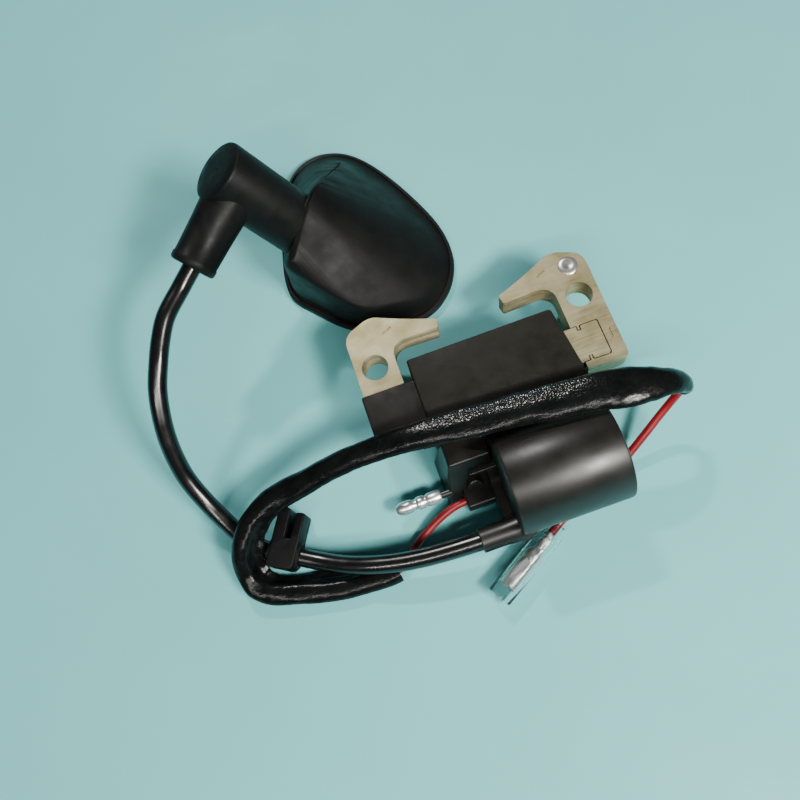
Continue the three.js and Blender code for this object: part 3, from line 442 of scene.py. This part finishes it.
def rounded(corners):
    """An outline from corners (x, y, how far back from the corner its rounding starts)."""
    outline = []
    for i, (x, y, back) in enumerate(corners):
        here = Vector((x, y))
        before = Vector(corners[i - 1][:2])
        after = Vector(corners[(i + 1) % len(corners)][:2])
        start = here + (before - here).normalized() * back
        end = here + (after - here).normalized() * back
        outline.append(start)
        outline += [Vector(p) for p in bend(start, here, end)]
    return outline


def smooth_route(points, per_span=8):
    """A centripetal Catmull-Rom line through the points."""
    points = [Vector(p) for p in points]
    ends = [points[0] * 2 - points[1], *points, points[-1] * 2 - points[-2]]
    line = [points[0]]
    for p0, p1, p2, p3 in zip(ends, ends[1:], ends[2:], ends[3:]):
        d0, d1, d2 = (math.sqrt((b - a).length) for a, b in ((p0, p1), (p1, p2), (p2, p3)))
        t1 = ((p1 - p0) / d0 - (p2 - p0) / (d0 + d1) + (p2 - p1) / d1) * d1
        t2 = ((p2 - p1) / d1 - (p3 - p1) / (d1 + d2) + (p3 - p2) / d2) * d1
        for step in range(1, per_span + 1):
            t = step / per_span
            line.append(
                p1 * (2 * t**3 - 3 * t**2 + 1) + t1 * (t**3 - 2 * t**2 + t)
                + p2 * (-2 * t**3 + 3 * t**2) + t2 * (t**3 - t**2)
            )
    return line


# ---------------------------------------------------------------- leads

LEAD_IN_CAP = 10

HT_ROUTE = [
    (-13.9, -53.1, 9.4), (-16.5, -53.1, 9.4), BOSS, (-24.5, -52.9, 9.2), (-30.4, -52.5, 8.8),
    (-36, -51.9, 8.4), (-41.8, -50.9, 7.9), (-49.6, -48.8, 7), (-56.4, -46.1, 5.7),
    (-62, -43.1, 4.7), (-69.5, -38.7, 4.7), (-75.5, -35.2, 4.7),
    (-79.2, -31.9, 4.9), (-82.2, -28, 5.4), (-85, -23, 6.8), (-87.8, -17.2, 9.6), (-90.1, -10.4, 14.4),
    (-90.5, -5.4, 18.8), (-90.1, -0.7, 23), (-89, 4.4, 27), (-87, 10.8, 31), (-83.8, 17.5, 34.2),
    (-81.2, 22.8, 35.8), (-78.2, 27.6, 37),
    *(tuple(CAP @ Vector((x, 0, 0))) for x in (NECK_END + 6, NECK_END, 18, LEAD_IN_CAP)),
]

RED_ROUTE = [
    (-15.2, -40.6, 4), RED_EXIT, (-21.8, -40.9, 3.9), (-24.6, -41.6, 3.6), (-28.4, -43, 2.9),
    (-32, -44.8, 2.2), (-36, -47.2, 1.6), (-39.4, -49.9, 1.7),
    (-43.1, -52.1, 2.4), (-49.8, -52.1, 2.4), (-56.4, -51.7, 2.4), (-62.5, -50.7, 2.5),
    (-68.5, -49.2, 2.7), (-73.8, -47.7, 3), (-78.4, -46, 3.6), (-81.6, -43.4, 4.6), (-82.9, -39.8, 6),
    (-82.6, -36, 8.8), (-80.4, -32.2, 11.4), (-76.8, -28.2, 13), (-71.5, -25.4, 14.4),
    (-65.4, -24.1, 16), (-58.1, -23.7, 18.2), (-50.2, -23.2, 21), (-41.2, -23.3, 23.8),
    (-34, -23.8, 25.6), (-27.5, -24.5, 27), (-19.2, -25.5, 28), (-8.8, -26.9, 28.6), (1.7, -27.9, 29),
    (11.7, -29.4, 29.6), (21.9, -30.7, 30), (28.4, -32.1, 29.9), (34.6, -33, 29), (40, -33.7, 27),
    (43.8, -34, 23.2), (45.4, -34, 19.2),
    (44.6, -34.4, 15.2), (42, -35.7, 12), (38, -37.9, 9), (33.4, -40.6, 6.4), (28.4, -43.4, 3.8),
    (22.6, -46.5, 1.6), (14.4, -50.2, 1.5), (8, -52.7, 2.4),
    *(tuple(BULLET_BACK + BULLET_WAY * d) for d in (-1.6, 1, 3.4)),
]
SLEEVE_FIRST = 8    # the sleeve covers the red lead from this point of its route
SLEEVE_LAST = 36    # to this one

# how far the sleeve reaches from the wire to the loop's inside and to its outside, and how thick it is
SLEEVE_SECTIONS = [
    (3, 3.2, 4.2), (4.2, 3.3, 4.2), (5.6, 3.4, 4.2), (6, 3.5, 4.2), (4.6, 3.5, 4.2), (4.7, 3.5, 4.2),
    (5.5, 3.5, 4.3), (6.2, 3.4, 4.4), (6, 3, 4.6), (5.4, 2.8, 4.8), (5.2, 3, 4.8), (5, 3.4, 4.6),
    (4.2, 3.6, 4.2), (3.8, 3.8, 4.2), (3.6, 3.6, 4.2), (3.4, 3.4, 4.2), (3.3, 3.3, 4.2), (3.4, 3.4, 4.2),
    (3.7, 3.7, 4.2), (4, 4, 4.2), (4.3, 4.3, 4.2), (4.5, 4.5, 4.2), (4.9, 4.9, 4.2), (5.2, 5.2, 4.2),
    (5.3, 5.3, 4.2), (4.6, 4.6, 4.2), (3.5, 3.5, 4.2), (3, 3, 4.4), (2.8, 2.8, 4.4),
]
SPAN_STEPS = 10
SLEEVE_SIDES = 48
SLEEVE_WALL = 0.4
FLAP_THICKNESS = 1.4    # where the sleeve is wide it lies flat beside the wire
FLAP_START = 1.2        # how far from the wire it begins to flatten
FLAP_FULL = 3.8         # and how far from the wire it is flat


def lead(name, line, diameter, look, nodes):
    """A round cord along a line of points."""
    data = bpy.data.curves.new(name, "CURVE")
    data.dimensions = "3D"
    data.bevel_depth = diameter / 2 * MM
    data.bevel_resolution = 6
    data.use_fill_caps = True
    spline = data.splines.new("POLY")
    spline.points.add(len(line) - 1)
    for point, place in zip(spline.points, line):
        point.co = (*(DRAWING @ place), 1)
    spline.use_smooth = True
    return show(bpy.data.objects.new(name, data), look, "coil", nodes)


def blend(value, low, high):
    """A smooth step from 0 at low to 1 at high."""
    t = min(1, max(0, (value - low) / (high - low)))
    return t * t * (3 - 2 * t)


def sleeve_ring(centre, tangent, section, depth, along):
    """An oval round the wire; on the loop's inside a wide section thins into a flap along its underside."""
    inside, outside, thickness = section
    across = tangent.cross(Vector((0, 0, 1))).normalized()
    over = across.cross(tangent)
    spread = min(1, max(0, (inside - outside) / 2))
    ring = []
    for i in range(SLEEVE_SIDES):
        angle = 2 * math.pi * i / SLEEVE_SIDES
        side, lift = math.cos(angle), math.sin(angle)
        crease = noise.noise(Vector((along * 0.16, side * 1.3, lift * 1.3)))
        dent = noise.noise(Vector((along * 0.55, side * 3 + 9, lift * 3)))
        swell = 1 + (0.07 * crease + 0.02 * dent)
        distance = side * ((inside if side > 0 else outside) - depth)
        loss = spread * blend(distance, FLAP_START, FLAP_FULL) * (thickness - FLAP_THICKNESS)
        half = (thickness - loss) / 2 - depth
        ring.append(centre + across * distance * swell + over * (lift * half * swell - loss / 2))
    return ring


def make_sleeve():
    """The sleeve is an open tube round the red lead, flattened and creased, with cut ends."""
    line = smooth_route(RED_ROUTE, SPAN_STEPS)
    outer, inner = [], []
    along = 0
    first, last = SLEEVE_FIRST * SPAN_STEPS, SLEEVE_LAST * SPAN_STEPS
    for step in range(first, last + 1):
        station = (step - first) / SPAN_STEPS
        low = min(int(station), len(SLEEVE_SECTIONS) - 2)
        before, after = Vector(SLEEVE_SECTIONS[low]), Vector(SLEEVE_SECTIONS[low + 1])
        section = before.lerp(after, blend(station, low, low + 1))
        tangent = (line[step + 1] - line[step - 1]).normalized()
        outer.append(sleeve_ring(line[step], tangent, section, 0, along))
        inner.append(sleeve_ring(line[step], tangent, section, SLEEVE_WALL, along))
        along += (line[step + 1] - line[step]).length
    sleeve = Shape().rings(outer + inner[::-1], loop=True)
    return sleeve.piece("harness_sleeve", "sleeve_vinyl", "coil", ["harness_sleeve"], sharp=60)


# grommet on the ignition lead
GROMMET_AT = (-71.4, -37.6, 4.7)
GROMMET_TURN = math.atan2(-43.1 + 35.2, -62 + 75.5)
GROMMET_BOTTOM = -4.4
GROMMET_TOP = 4.2


def make_grommet():
    """Two prongs with a slot between them for the cowling's edge, on a pad that grips the lead."""
    body = [
        (-3.9, -4.3, 0.7), (3.9, -4.3, 2.2), (3.9, 11.8, 1), (1.4, 11.5, 0.5), (1.2, 4.2, 0.3),
        (-0.3, 4.2, 0.3), (-0.4, 12.2, 0.8), (-2.4, 12.8, 0.8), (-3.9, 10.6, 0.6),
    ]
    shape = Shape().slab(rounded(body), GROMMET_BOTTOM, GROMMET_TOP, 0.5, 0.4)
    collar = [(-4.6, 2.7), (-4.6, 3.5), (-4.2, 3.9), (4.2, 3.9), (4.6, 3.5), (4.6, 2.7)]
    shape.turned(collar, sides=40, loop=True)
    place = DRAWING @ Matrix.Translation(GROMMET_AT) @ Matrix.Rotation(GROMMET_TURN, 4, "Z")
    return shape.piece("lead_grommet", "grommet_rubber", "cowl_grommet", ["lead_grommet"], place=place)


def make_bullets():
    """The red lead's crimped female bullet in its clear cover, and the black lead's male bullet."""
    place = DRAWING @ Matrix.Translation(BULLET_BACK) @ Matrix.Rotation(BULLET_HEADING, 4, "Z")
    crimp = [
        (3.2, 1.25), (3.2, 1.6), (3.6, 1.72), (4.6, 1.72), (4.9, 1.45), (5.6, 1.45), (5.9, 1.72),
        (7.2, 1.72), (7.6, 1.5), (8.6, 1.5), (9.6, 2.2), (10.3, 2.5), (10.9, 2.6), (12.4, 2.6), (12.7, 2.4),
        (13.3, 2.4), (13.6, 2.6), (21.2, 2.6), (21.5, 2.45), (21.5, 2), (10.6, 1.85), (10.6, 1.25),
    ]
    female = Shape().turned(crimp, sides=40, loop=True)
    female = female.piece("female_bullet", "tinned_brass", "coil", ["female_bullet"], place=place)
    skin = [
        (0, 1.65), (0, 2.3), (0.5, 2.55), (1.4, 3.1), (3.4, 3.38), (6.4, 3.5), (14, 3.46), (25, 3.5),
        (25.4, 3.35), (25.4, 3.1), (25.2, 3.0), (14, 2.98), (6.6, 2.95), (1.8, 2.6), (0.7, 2.0),
    ]
    cover = Shape().turned(skin, sides=48, loop=True)
    cover = cover.piece("bullet_cover", "clear_vinyl", "connector_cover", ["bullet_cover"], place=place)

    tip = [
        (0, 0), (0, 1.75), (0.2, 1.9), (3.4, 1.9), (3.8, 1.75), (4.2, 1.55), (4.6, 1.55), (5, 1.85),
        (6.4, 1.9), (6.9, 1.75), (7.1, 1.5), (8.1, 1.5), (8.6, 1.85), (9.4, 1.95), (10.8, 1.95),
        (11.9, 1.75), (12.8, 1.3), (13, 1.1), (13, 0),
    ]
    back = Vector(BLACK_EXIT) - Vector((2.4, 0, 0))
    male_place = DRAWING @ Matrix.Translation(back) @ Matrix.Rotation(math.pi, 4, "Z")
    male = Shape().turned(tip, sides=40)
    male.piece("male_bullet", "tinned_brass", "coil", ["male_bullet"], place=male_place)
    stub = [Vector(BLACK_EXIT) + Vector((x, 0, 0)) for x in (-2.2, -0.8, 1)]
    lead("black_lead", stub, WIRE_DIAMETER, "black_insulation", ["black_lead"])
    return female, cover


# ---------------------------------------------------------------- laminated core

KEY_GAP = 0.25      # between the bar's keyed end and the right leg
MARK_DEPTH = 0.4


def leg_path():
    """Round the right-hand leg from the bar's top edge, over the shoe and back to the bar's lower edge."""
    return [
        (LEG_INNER_X, 0.8),
        *bend((LEG_INNER_X, 0.8), (LEG_INNER_X, 4.9), (19.7, 5.2)),
        (10.1, 4.9), (9.6, 5.2), (9.2, 7.4), (9.5, 7.9),
        *bend((9.5, 7.9), (17.5, 10.6), (25.3, 14.4), 10),
        *bend((25.3, 14.4), (26.9, 15), (29.1, 14.4)),
        (32.9, 12.9),
        *bend((32.9, 12.9), (LEG_OUTER_X, 11.6), (LEG_OUTER_X, 8.2), 8),
        (LEG_OUTER_X, -19.7),
        *bend((LEG_OUTER_X, -19.7), (LEG_OUTER_X, LEG_FOOT_Y), (34.2, LEG_FOOT_Y)),
        (LEG_INNER_X, LEG_FOOT_Y),
    ]


def tongue_path(gap):
    """The bar's keyed end from its lower edge to its upper edge, grown by the gap."""
    high, low = BAR_HIGH_Y + gap, BAR_LOW_Y - gap
    return [
        (25.4 + gap, low), (25.4 + gap, low + 1.3), (26.5 - gap, low + 1.3), (26.5 - gap, low + 0.3),
        (26.9 - gap, low), (31 + gap, low), (31.4 + gap, low + 0.4), (31.4 + gap, high - 0.4),
        (31 + gap, high), (26.9 - gap, high), (26.5 - gap, high - 0.3), (26.5 - gap, high - 1.3),
        (25.4 + gap, high - 1.3), (25.4 + gap, high),
    ]


def circle(x, y, radius, sides=40):
    """A round hole's rim, clockwise, so that inset() widens it."""
    angles = [2 * math.pi * i / sides for i in range(sides)]
    return [Vector((x + radius * math.cos(a), y - radius * math.sin(a))) for a in angles]


def mark(x, y, turn):
    """An interlock mark's rim, clockwise."""
    corners = [(-1.5, -0.35), (-1.5, 0.35), (1.5, 0.35), (1.5, -0.35)]
    spin = Matrix.Rotation(turn, 2)
    return [Vector((x, y)) + spin @ Vector(corner) for corner in corners]


def stack(shape, outline, holes, marks):
    """A stack of thin sheets: each sheared edge is a fine step, and holes go right through."""
    pitch = (STACK_TOP - STACK_BOTTOM) / LAMINATIONS
    levels = []
    for sheet in range(LAMINATIONS):
        slip = Vector((dice.uniform(-0.04, 0.04), dice.uniform(-0.04, 0.04)))
        for lift, back in ((0.02, 0.07), (0.09, 0), (0.4, 0), (0.48, 0.07)):
            levels.append((STACK_BOTTOM + pitch * sheet + lift, back, slip))
    levels[-1] = (STACK_TOP, levels[-1][1], levels[-1][2])
    loops = [outline, *holes]
    caps = []
    for loop in loops:
        rings = [[Vector((*(p + slip), z)) for p in inset(loop, back)] for z, back, slip in levels]
        count = len(loop)
        faces = []
        for low in range(0, (len(rings) - 1) * count, count):
            high = low + count
            for i in range(count):
                j = (i + 1) % count
                faces.append([low + i, low + j, high + j, high + i])
        shape.add([v for ring in rings for v in ring], faces)
        caps.append((rings[0], rings[-1]))
    sunk = []
    for rim in marks:
        top = [Vector((p.x, p.y, STACK_TOP)) for p in rim]
        floor = [Vector((p.x, p.y, STACK_TOP - MARK_DEPTH)) for p in rim]
        shape.add(top + floor, [[i, (i + 1) % 4, 4 + (i + 1) % 4, 4 + i] for i in range(4)] + [[4, 5, 6, 7]])
        sunk.append(top)
    for loops_at in ([bottom for bottom, _ in caps], [top for _, top in caps] + sunk):
        points = [p for loop in loops_at for p in loop]
        shape.add(points, [list(tri) for tri in tessellate_polygon(loops_at)])


def make_core():
    """The left leg and the bar in one stack, the right leg in another, and the rivet through that leg."""
    left = [(-x, y) for x, y in [(LEG_INNER_X, BAR_HIGH_Y), *leg_path(), (LEG_INNER_X, BAR_LOW_Y)]]
    outline = [Vector(p) for p in left + tongue_path(0)]
    shape = Shape()
    stack(shape, outline, [circle(-HOLE_X, 0, HOLE_RADIUS)], [mark(-23.6, 9.4, 0.4)])
    shape.piece("core_stack", "core_steel", "coil", ["core_stack"], sharp=25)

    leg = [
        *leg_path(), (LEG_INNER_X, BAR_LOW_Y - KEY_GAP), *tongue_path(KEY_GAP),
        (LEG_INNER_X, BAR_HIGH_Y + KEY_GAP),
    ]
    shape = Shape()
    stack(
        shape, [Vector(p) for p in leg[::-1]],
        [circle(HOLE_X, 0, HOLE_RADIUS), circle(*RIVET, 2)],
        [mark(22.4, 9.8, 0.4), mark(33.4, -13.5, math.pi / 2)],
    )
    shape.piece("core_leg_right", "core_steel", "coil", ["core_leg_right"], sharp=25)

    head = [
        (12.4, 0), (12.4, 2.2), (12.8, 2.8), (13, 2.8), (13, 1.8), (20, 1.8), (20, 2.8), (20.3, 2.75),
        (20.55, 2.3), (20.6, 1.2), (20.42, 0.8), (20.4, 0),
    ]
    upright = Matrix.Translation((*RIVET, 0)) @ Matrix.Rotation(-math.pi / 2, 4, "Y")
    Shape().turned(head, upright, sides=40).piece("core_rivet", "rivet_steel", "coil", ["core_rivet"])


# ---------------------------------------------------------------- exciter coil's case

CASE_TOP = 24
SHOULDER_BOTTOM = 11.4
SHOULDER_TOP = 20.7


def make_exciter():
    """The potted case on the bar, and its shoulder over the foot of the left leg."""
    case = rounded([(-21.4, -26, 0.8), (22.8, -26, 0.8), (20.2, -2.6, 1.2), (-21.4, -2.6, 0.8)])
    shape = Shape().slab(case, 0, CASE_TOP, 0.55, 0.2)
    shape.piece("exciter_case", "case_plastic", "coil", ["exciter_case", "exciter_bobbin", "exciter_winding"])
    shoulder = rounded([(-36.4, -22.4, 1), (-20.9, -22.4, 0.6), (-20.9, -7.3, 0.6), (-36.4, -7.3, 0.6)])
    shape = Shape().slab(shoulder, SHOULDER_BOTTOM, SHOULDER_TOP, 0.45, 0.4)
    # the shoulder takes the darker copy of the case's plastic, which is painted shade
    shape.piece("exciter_shoulder", "case_plastic_painted_shade", "coil", finish="case_plastic")
    pool = rounded([(-19.8, -24.4, 0.8), (18.6, -24.4, 0.8), (18.6, -4.2, 0.8), (-19.8, -4.2, 0.8)])
    shape = Shape().slab(pool, -0.02, 3, 0.2, 0.6)
    shape.piece("exciter_resin", "potting_resin", "coil", ["exciter_resin"])


# ---------------------------------------------------------------- module

def box_outline(z):
    """The electronics box at a height: its front and left faces lean in towards the top."""
    rise = z / BOX_TOP
    left = -23.5 + 3.1 * rise
    front = -40.6 + 8 * rise
    return rounded([(left, front, 1.1), (-8.4, front, 0.9), (-8.4, -25.6, 0.9), (left, -25.6, 0.9)])


def add_box(shape):
    rings = [[Vector((*p, 0)) for p in inset(box_outline(0), 0.2)]]
    rings.append([Vector((*p, 0.25)) for p in box_outline(0.25)])
    rings += [[Vector((*p, z)) for p in box_outline(z)] for z in (6, 12, 15.3)]
    for angle in (30, 60, 90):
        back = 0.7 * (1 - math.cos(math.radians(angle)))
        height = 15.3 + 0.7 * math.sin(math.radians(angle))
        rings.append([Vector((*p, height)) for p in inset(box_outline(15.3), back)])
    shape.rings(rings)


def add_boss(shape):
    """The boss that the ignition lead comes out of, bored for the lead."""
    bore = HT_DIAMETER / 2 + 0.05
    profile = [
        (BOSS[0] + 4, bore), (BOSS[0] + 0.3, bore), (BOSS[0], bore + 0.25), (BOSS[0], BOSS_RADIUS - 0.3),
        (BOSS[0] + 0.3, BOSS_RADIUS), (BOSS[0] + 6.5, BOSS_RADIUS), (CYL_LEFT_X + 1, BOSS_RADIUS + 0.5),
        (CYL_LEFT_X + 4, BOSS_RADIUS + 0.5), (CYL_LEFT_X + 4, bore),
    ]
    shape.turned(profile, Matrix.Translation((0, BOSS[1], BOSS[2])), sides=48, loop=True)


def add_knob(shape):
    """The small round boss that leans on the box's sloping front."""
    tilt = Matrix.Rotation(math.radians(70), 4, "X") @ Matrix.Rotation(-math.pi / 2, 4, "Y")
    knob = [(-1.5, 0), (-1.5, 2.2), (0.9, 2.2), (1.15, 2), (1.2, 1.6), (1.05, 1.3), (1, 0)]
    shape.turned(knob, Matrix.Translation((-14.9, -37.2, 7.6)) @ tilt, sides=36)


def make_module():
    """The electronics box, the lying cylinder, the webs between them and the resin in their open faces."""
    shape = Shape()
    add_box(shape)
    axle = Matrix.Translation((0, CYL_Y, CYL_Z))
    barrel = [
        (CYL_LEFT_X, 0), (CYL_LEFT_X, CYL_RADIUS - 1), (CYL_LEFT_X + 0.3, CYL_RADIUS - 0.3),
        (CYL_LEFT_X + 1, CYL_RADIUS), (CYL_RIGHT_X - 0.7, CYL_RADIUS),
        (CYL_RIGHT_X - 0.2, CYL_RADIUS - 0.2), (CYL_RIGHT_X, CYL_RADIUS - 0.6),
        (CYL_RIGHT_X, CYL_RADIUS - 1.3), (CYL_RIGHT_X - 0.3, CYL_RADIUS - 1.5),
        (CYL_RIGHT_X - 2.4, CYL_RADIUS - 1.6), (CYL_RIGHT_X - 2.4, 0),
    ]
    shape.turned(barrel, axle, sides=96)
    add_boss(shape)
    web = rounded([(-11, -52, 0.7), (-7.2, -52, 0.7), (-7.2, -26, 0.7), (-11, -26, 0.7)])
    shape.slab(web, 2.5, 10, 0.5, 0.4)
    back_web = rounded([(-16, -36, 0.7), (18, -36, 0.7), (18, -25.8, 0.7), (-16, -25.8, 0.7)])
    shape.slab(back_web, 4, 12, 0.5, 0.4)
    ledge = rounded([(-18.8, -43.2, 0.9), (-9.5, -43.2, 0.8), (-9.5, -36, 0.8), (-18.8, -36, 0.8)])
    shape.slab(ledge, 0.4, 6, 0.6, 0.2)
    add_knob(shape)
    shape.piece("module_case", "module_plastic", "coil", ["module_case"], finish="case_plastic")

    fill = [
        (CYL_RIGHT_X - 2.6, 0), (CYL_RIGHT_X - 2.6, 12.2), (CYL_RIGHT_X - 0.4, 12.28),
        (CYL_RIGHT_X - 0.75, 11.4), (CYL_RIGHT_X - 0.9, 8), (CYL_RIGHT_X - 0.8, 3), (CYL_RIGHT_X - 0.85, 0),
    ]
    Shape().turned(fill, axle, sides=72).piece("hv_end_cap", "potting_resin", "coil", ["hv_end_cap"])
    pool = rounded([(-21, -36.4, 0.5), (-12, -36.4, 0.5), (-12, -28.3, 0.5), (-21, -28.3, 0.5)])
    Shape().slab(pool, -0.02, 1.6, 0.2, 0.4).piece("module_resin", "potting_resin", "coil", ["module_resin"])


# ---------------------------------------------------------------- plug cap and its hood

def make_cap():
    """The cap's barrel and, across its top, the neck that the ignition lead goes into."""
    shape = Shape()
    upright = Matrix.Rotation(-math.pi / 2, 4, "Y")
    wall = [
        (-13, 5.6), (BARREL_BOTTOM + 0.4, 5.7), (BARREL_BOTTOM, 6.2), (BARREL_BOTTOM, 8.2),
        (BARREL_BOTTOM + 0.6, BARREL_RADIUS), (BARREL_TOP - 1, BARREL_RADIUS), (BARREL_TOP - 0.3, 8.5),
        (BARREL_TOP, 7.9), (BARREL_TOP + 0.05, 5), (BARREL_TOP + 0.05, 0.3), (4, 0.3), (4, 3.8), (-13, 3.8),
    ]
    shape.turned(wall, upright, sides=72, loop=True)
    neck = [
        (5, 2.6), (5, 7.1), (9, 6.75), (14, 6.5), (NECK_END - 2.6, 6.2), (NECK_END - 2.2, 6.45),
        (NECK_END - 0.7, 6.4), (NECK_END - 0.1, 5.9), (NECK_END, 5.2), (NECK_END - 0.1, 3.1),
        (NECK_END - 1, 2.6),
    ]
    shape.turned(neck, sides=64, loop=True)
    return shape.piece("plug_cap_body", "cap_rubber", "coil", ["plug_cap_body"], place=DRAWING @ CAP)


# stations round the hood's rim: rim x and y, the wall's shoulder x, y and z, and where its roof line
# ends on the ridge, from 0 at the near end over 1 at the barrel to 2 at the back
HOOD_STATIONS = [
    (-47.4, 37.6, -44.4, 36.2, 26, 0), (-42.4, 31.2, -40.6, 31.6, 23.6, 0),
    (-35.6, 23.8, -34.8, 26.2, 19.4, 0.1), (-27.5, 18.6, -27.6, 21, 14, 0.3),
    (-17.5, 16.8, -17.8, 20.4, 10, 0.6), (-7.6, 18.2, -9.2, 21.8, 7, 0.85),
    (0, 24.4, -3, 27.4, 5.8, 1), (4, 33.5, 0, 35, 5.2, 1.1), (3.6, 45, -0.4, 44.6, 5, 1.25),
    (-1.4, 59.5, -5, 57.6, 5, 1.5), (-8.6, 73.6, -11.8, 71, 5, 1.8), (-16.2, 82.4, -18, 78.6, 5, 2),
    (-25, 85.6, -25.2, 81.4, 5, 2), (-33.4, 83.2, -31.6, 79.4, 5.4, 1.8), (-39.6, 76, -36.6, 73.4, 6, 1.5),
    (-43.8, 65, -40.2, 63.8, 7.5, 1.15), (-47, 53, -43.6, 52.4, 11, 0.8), (-48.4, 44, -45.2, 43.4, 18.5, 0.3),
]
RIDGE_STEPS = 24
HOOD_RIDGE = smooth_route([(-41.6, 36.4, 28.6), (-31.2, 48.6, 34.6), (-19.4, 73.2, 10.4)], RIDGE_STEPS)
HOOD_CENTRE = Vector((-23, 50, 0))
HOOD_WALL = 2
HOOD_SPAN_STEPS = 8
HOOD_BORE_RADIUS = 8.85

# the bead round the rim: how far in from the rim and how high
RIM_BEAD = ((0.5, 0.1), (0.05, 0.5), (0, 1.5), (0.1, 2.5), (0.6, 3), (1.2, 3.05), (1.6, 2.75), (1.9, 3.1))


def closed_line(points):
    """A smooth closed line through the points."""
    line = []
    count = len(points)
    for i in range(count):
        p0, p1, p2, p3 = (points[(i + k) % count] for k in (-1, 0, 1, 2))
        for step in range(HOOD_SPAN_STEPS):
            t = step / HOOD_SPAN_STEPS
            line.append(
                (p1 * 2 + (p2 - p0) * t + (p0 * 2 - p1 * 5 + p2 * 4 - p3) * t**2
                 + (p1 * 3 - p0 - p2 * 3 + p3) * t**3) / 2
            )
    return line


def hood_rings(depth):
    """Rings from the rim's foot up to the ridge's crown, moved in by a depth for the inner skin."""
    rim = closed_line([Vector((s[0], s[1], 0)) for s in HOOD_STATIONS])
    shoulder = closed_line([Vector(s[2:5]) for s in HOOD_STATIONS])
    places = closed_line([Vector((s[5], 0, 0)) for s in HOOD_STATIONS])

    def inwards(point, amount, z):
        way = HOOD_CENTRE - Vector((point.x, point.y, 0))
        return Vector((point.x, point.y, z)) + way.normalized() * amount

    rings = [[inwards(p, back + depth, z) for p in rim] for back, z in RIM_BEAD]
    columns = []
    for low, high, place in zip(rings[-1], shoulder, places):
        ridge = HOOD_RIDGE[round(min(2, max(0, place.x)) * RIDGE_STEPS)]
        away = Vector((high.x - ridge.x, high.y - ridge.y, 0)).normalized()
        high = inwards(high, depth, high.z - depth)
        eave = ridge + away * 1.2 - Vector((0, 0, depth))
        crown = ridge + away * 0.4 + Vector((0, 0, 0.35 - depth))
        soft = min(1.8, (high - low).length / 2, (eave - high).length / 2)
        start = high + (low - high).normalized() * soft
        end = high + (eave - high).normalized() * soft
        column = [low.lerp(start, 0.33), low.lerp(start, 0.67), start]
        column += [start * (1 - t) ** 2 + high * 2 * t * (1 - t) + end * t * t for t in (0.25, 0.5, 0.75, 1)]
        column += [end.lerp(eave, t) for t in (0.2, 0.4, 0.6, 0.8, 1)]
        column += [eave.lerp(crown, 0.6) + Vector((0, 0, 0.12)), crown]
        columns.append(column)
    rings += [list(ring) for ring in zip(*columns)]
    return rings


def carve(thing, cutter):
    """Takes the cutter's shape out of a piece and removes the cutter."""
    cutter.parent = None
    tool = thing.modifiers.new("cut", "BOOLEAN")
    tool.operation = "DIFFERENCE"
    tool.solver = "EXACT"
    tool.object = cutter
    bpy.context.view_layer.update()
    made = bpy.data.meshes.new_from_object(thing.evaluated_get(bpy.context.evaluated_depsgraph_get()))
    thing.modifiers.clear()
    thing.data = made
    made.shade_smooth()
    made.set_sharp_from_angle(angle=math.radians(38))
    bpy.data.objects.remove(cutter)


def make_hood():
    """A rubber shell over the plug, open below, with the cap's barrel through its roof."""
    outer = hood_rings(0)
    inner = hood_rings(HOOD_WALL)
    shape = Shape().rings(inner[len(RIM_BEAD):][::-1] + outer)
    hood = shape.piece("cap_hood", "hood_rubber", "hood", ["cap_hood"])
    upright = Matrix.Rotation(-math.pi / 2, 4, "Y")
    below, above = BARREL_BOTTOM - 12, BARREL_TOP + 2
    profile = [(below, 0), (below, HOOD_BORE_RADIUS), (above, HOOD_BORE_RADIUS), (above, 0)]
    rod = Shape().turned(profile, upright, sides=72)
    carve(hood, rod.piece("cutter", "hood_rubber", "hood", place=DRAWING @ CAP))
    return hood


# ---------------------------------------------------------------- everything together

TABLE_REACH = 900

make_materials()
make_camera()
make_light()

ht_line = smooth_route(HT_ROUTE)
red_line = smooth_route(RED_ROUTE)
ht_lead = lead("ht_lead", ht_line, HT_DIAMETER, "lead_jacket", ["ht_lead"])
red_lead = lead("red_lead", red_line, WIRE_DIAMETER, "red_insulation", ["red_lead"])
sleeve = make_sleeve()
grommet = make_grommet()
female_bullet, bullet_cover = make_bullets()
cap = make_cap()
hood = make_hood()
make_core()
make_exciter()
make_module()

# the sealed pieces stay as the solids that they are and take their slot's material
slot_of = {row["node"]: row["material_slot"] for row in frame["record"]["subparts"]}
for name, node in frame["nodes"].items():
    if not node.hide_render:
        node.data.materials.clear()
        node.data.materials.append(LOOKS[slot_of[name]])

low, high = at(-TABLE_REACH, -TABLE_REACH, 0), at(TABLE_REACH, TABLE_REACH, 0)
floor_mesh = bpy.data.meshes.new("table")
floor_mesh.from_pydata(
    [(low.x, low.y, 0), (high.x, low.y, 0), (high.x, high.y, 0), (low.x, high.y, 0)], [], [[0, 1, 2, 3]]
)
table = bpy.data.objects.new("table", floor_mesh)
bpy.context.scene.collection.objects.link(table)
floor_mesh.materials.append(LOOKS["table_paint"])
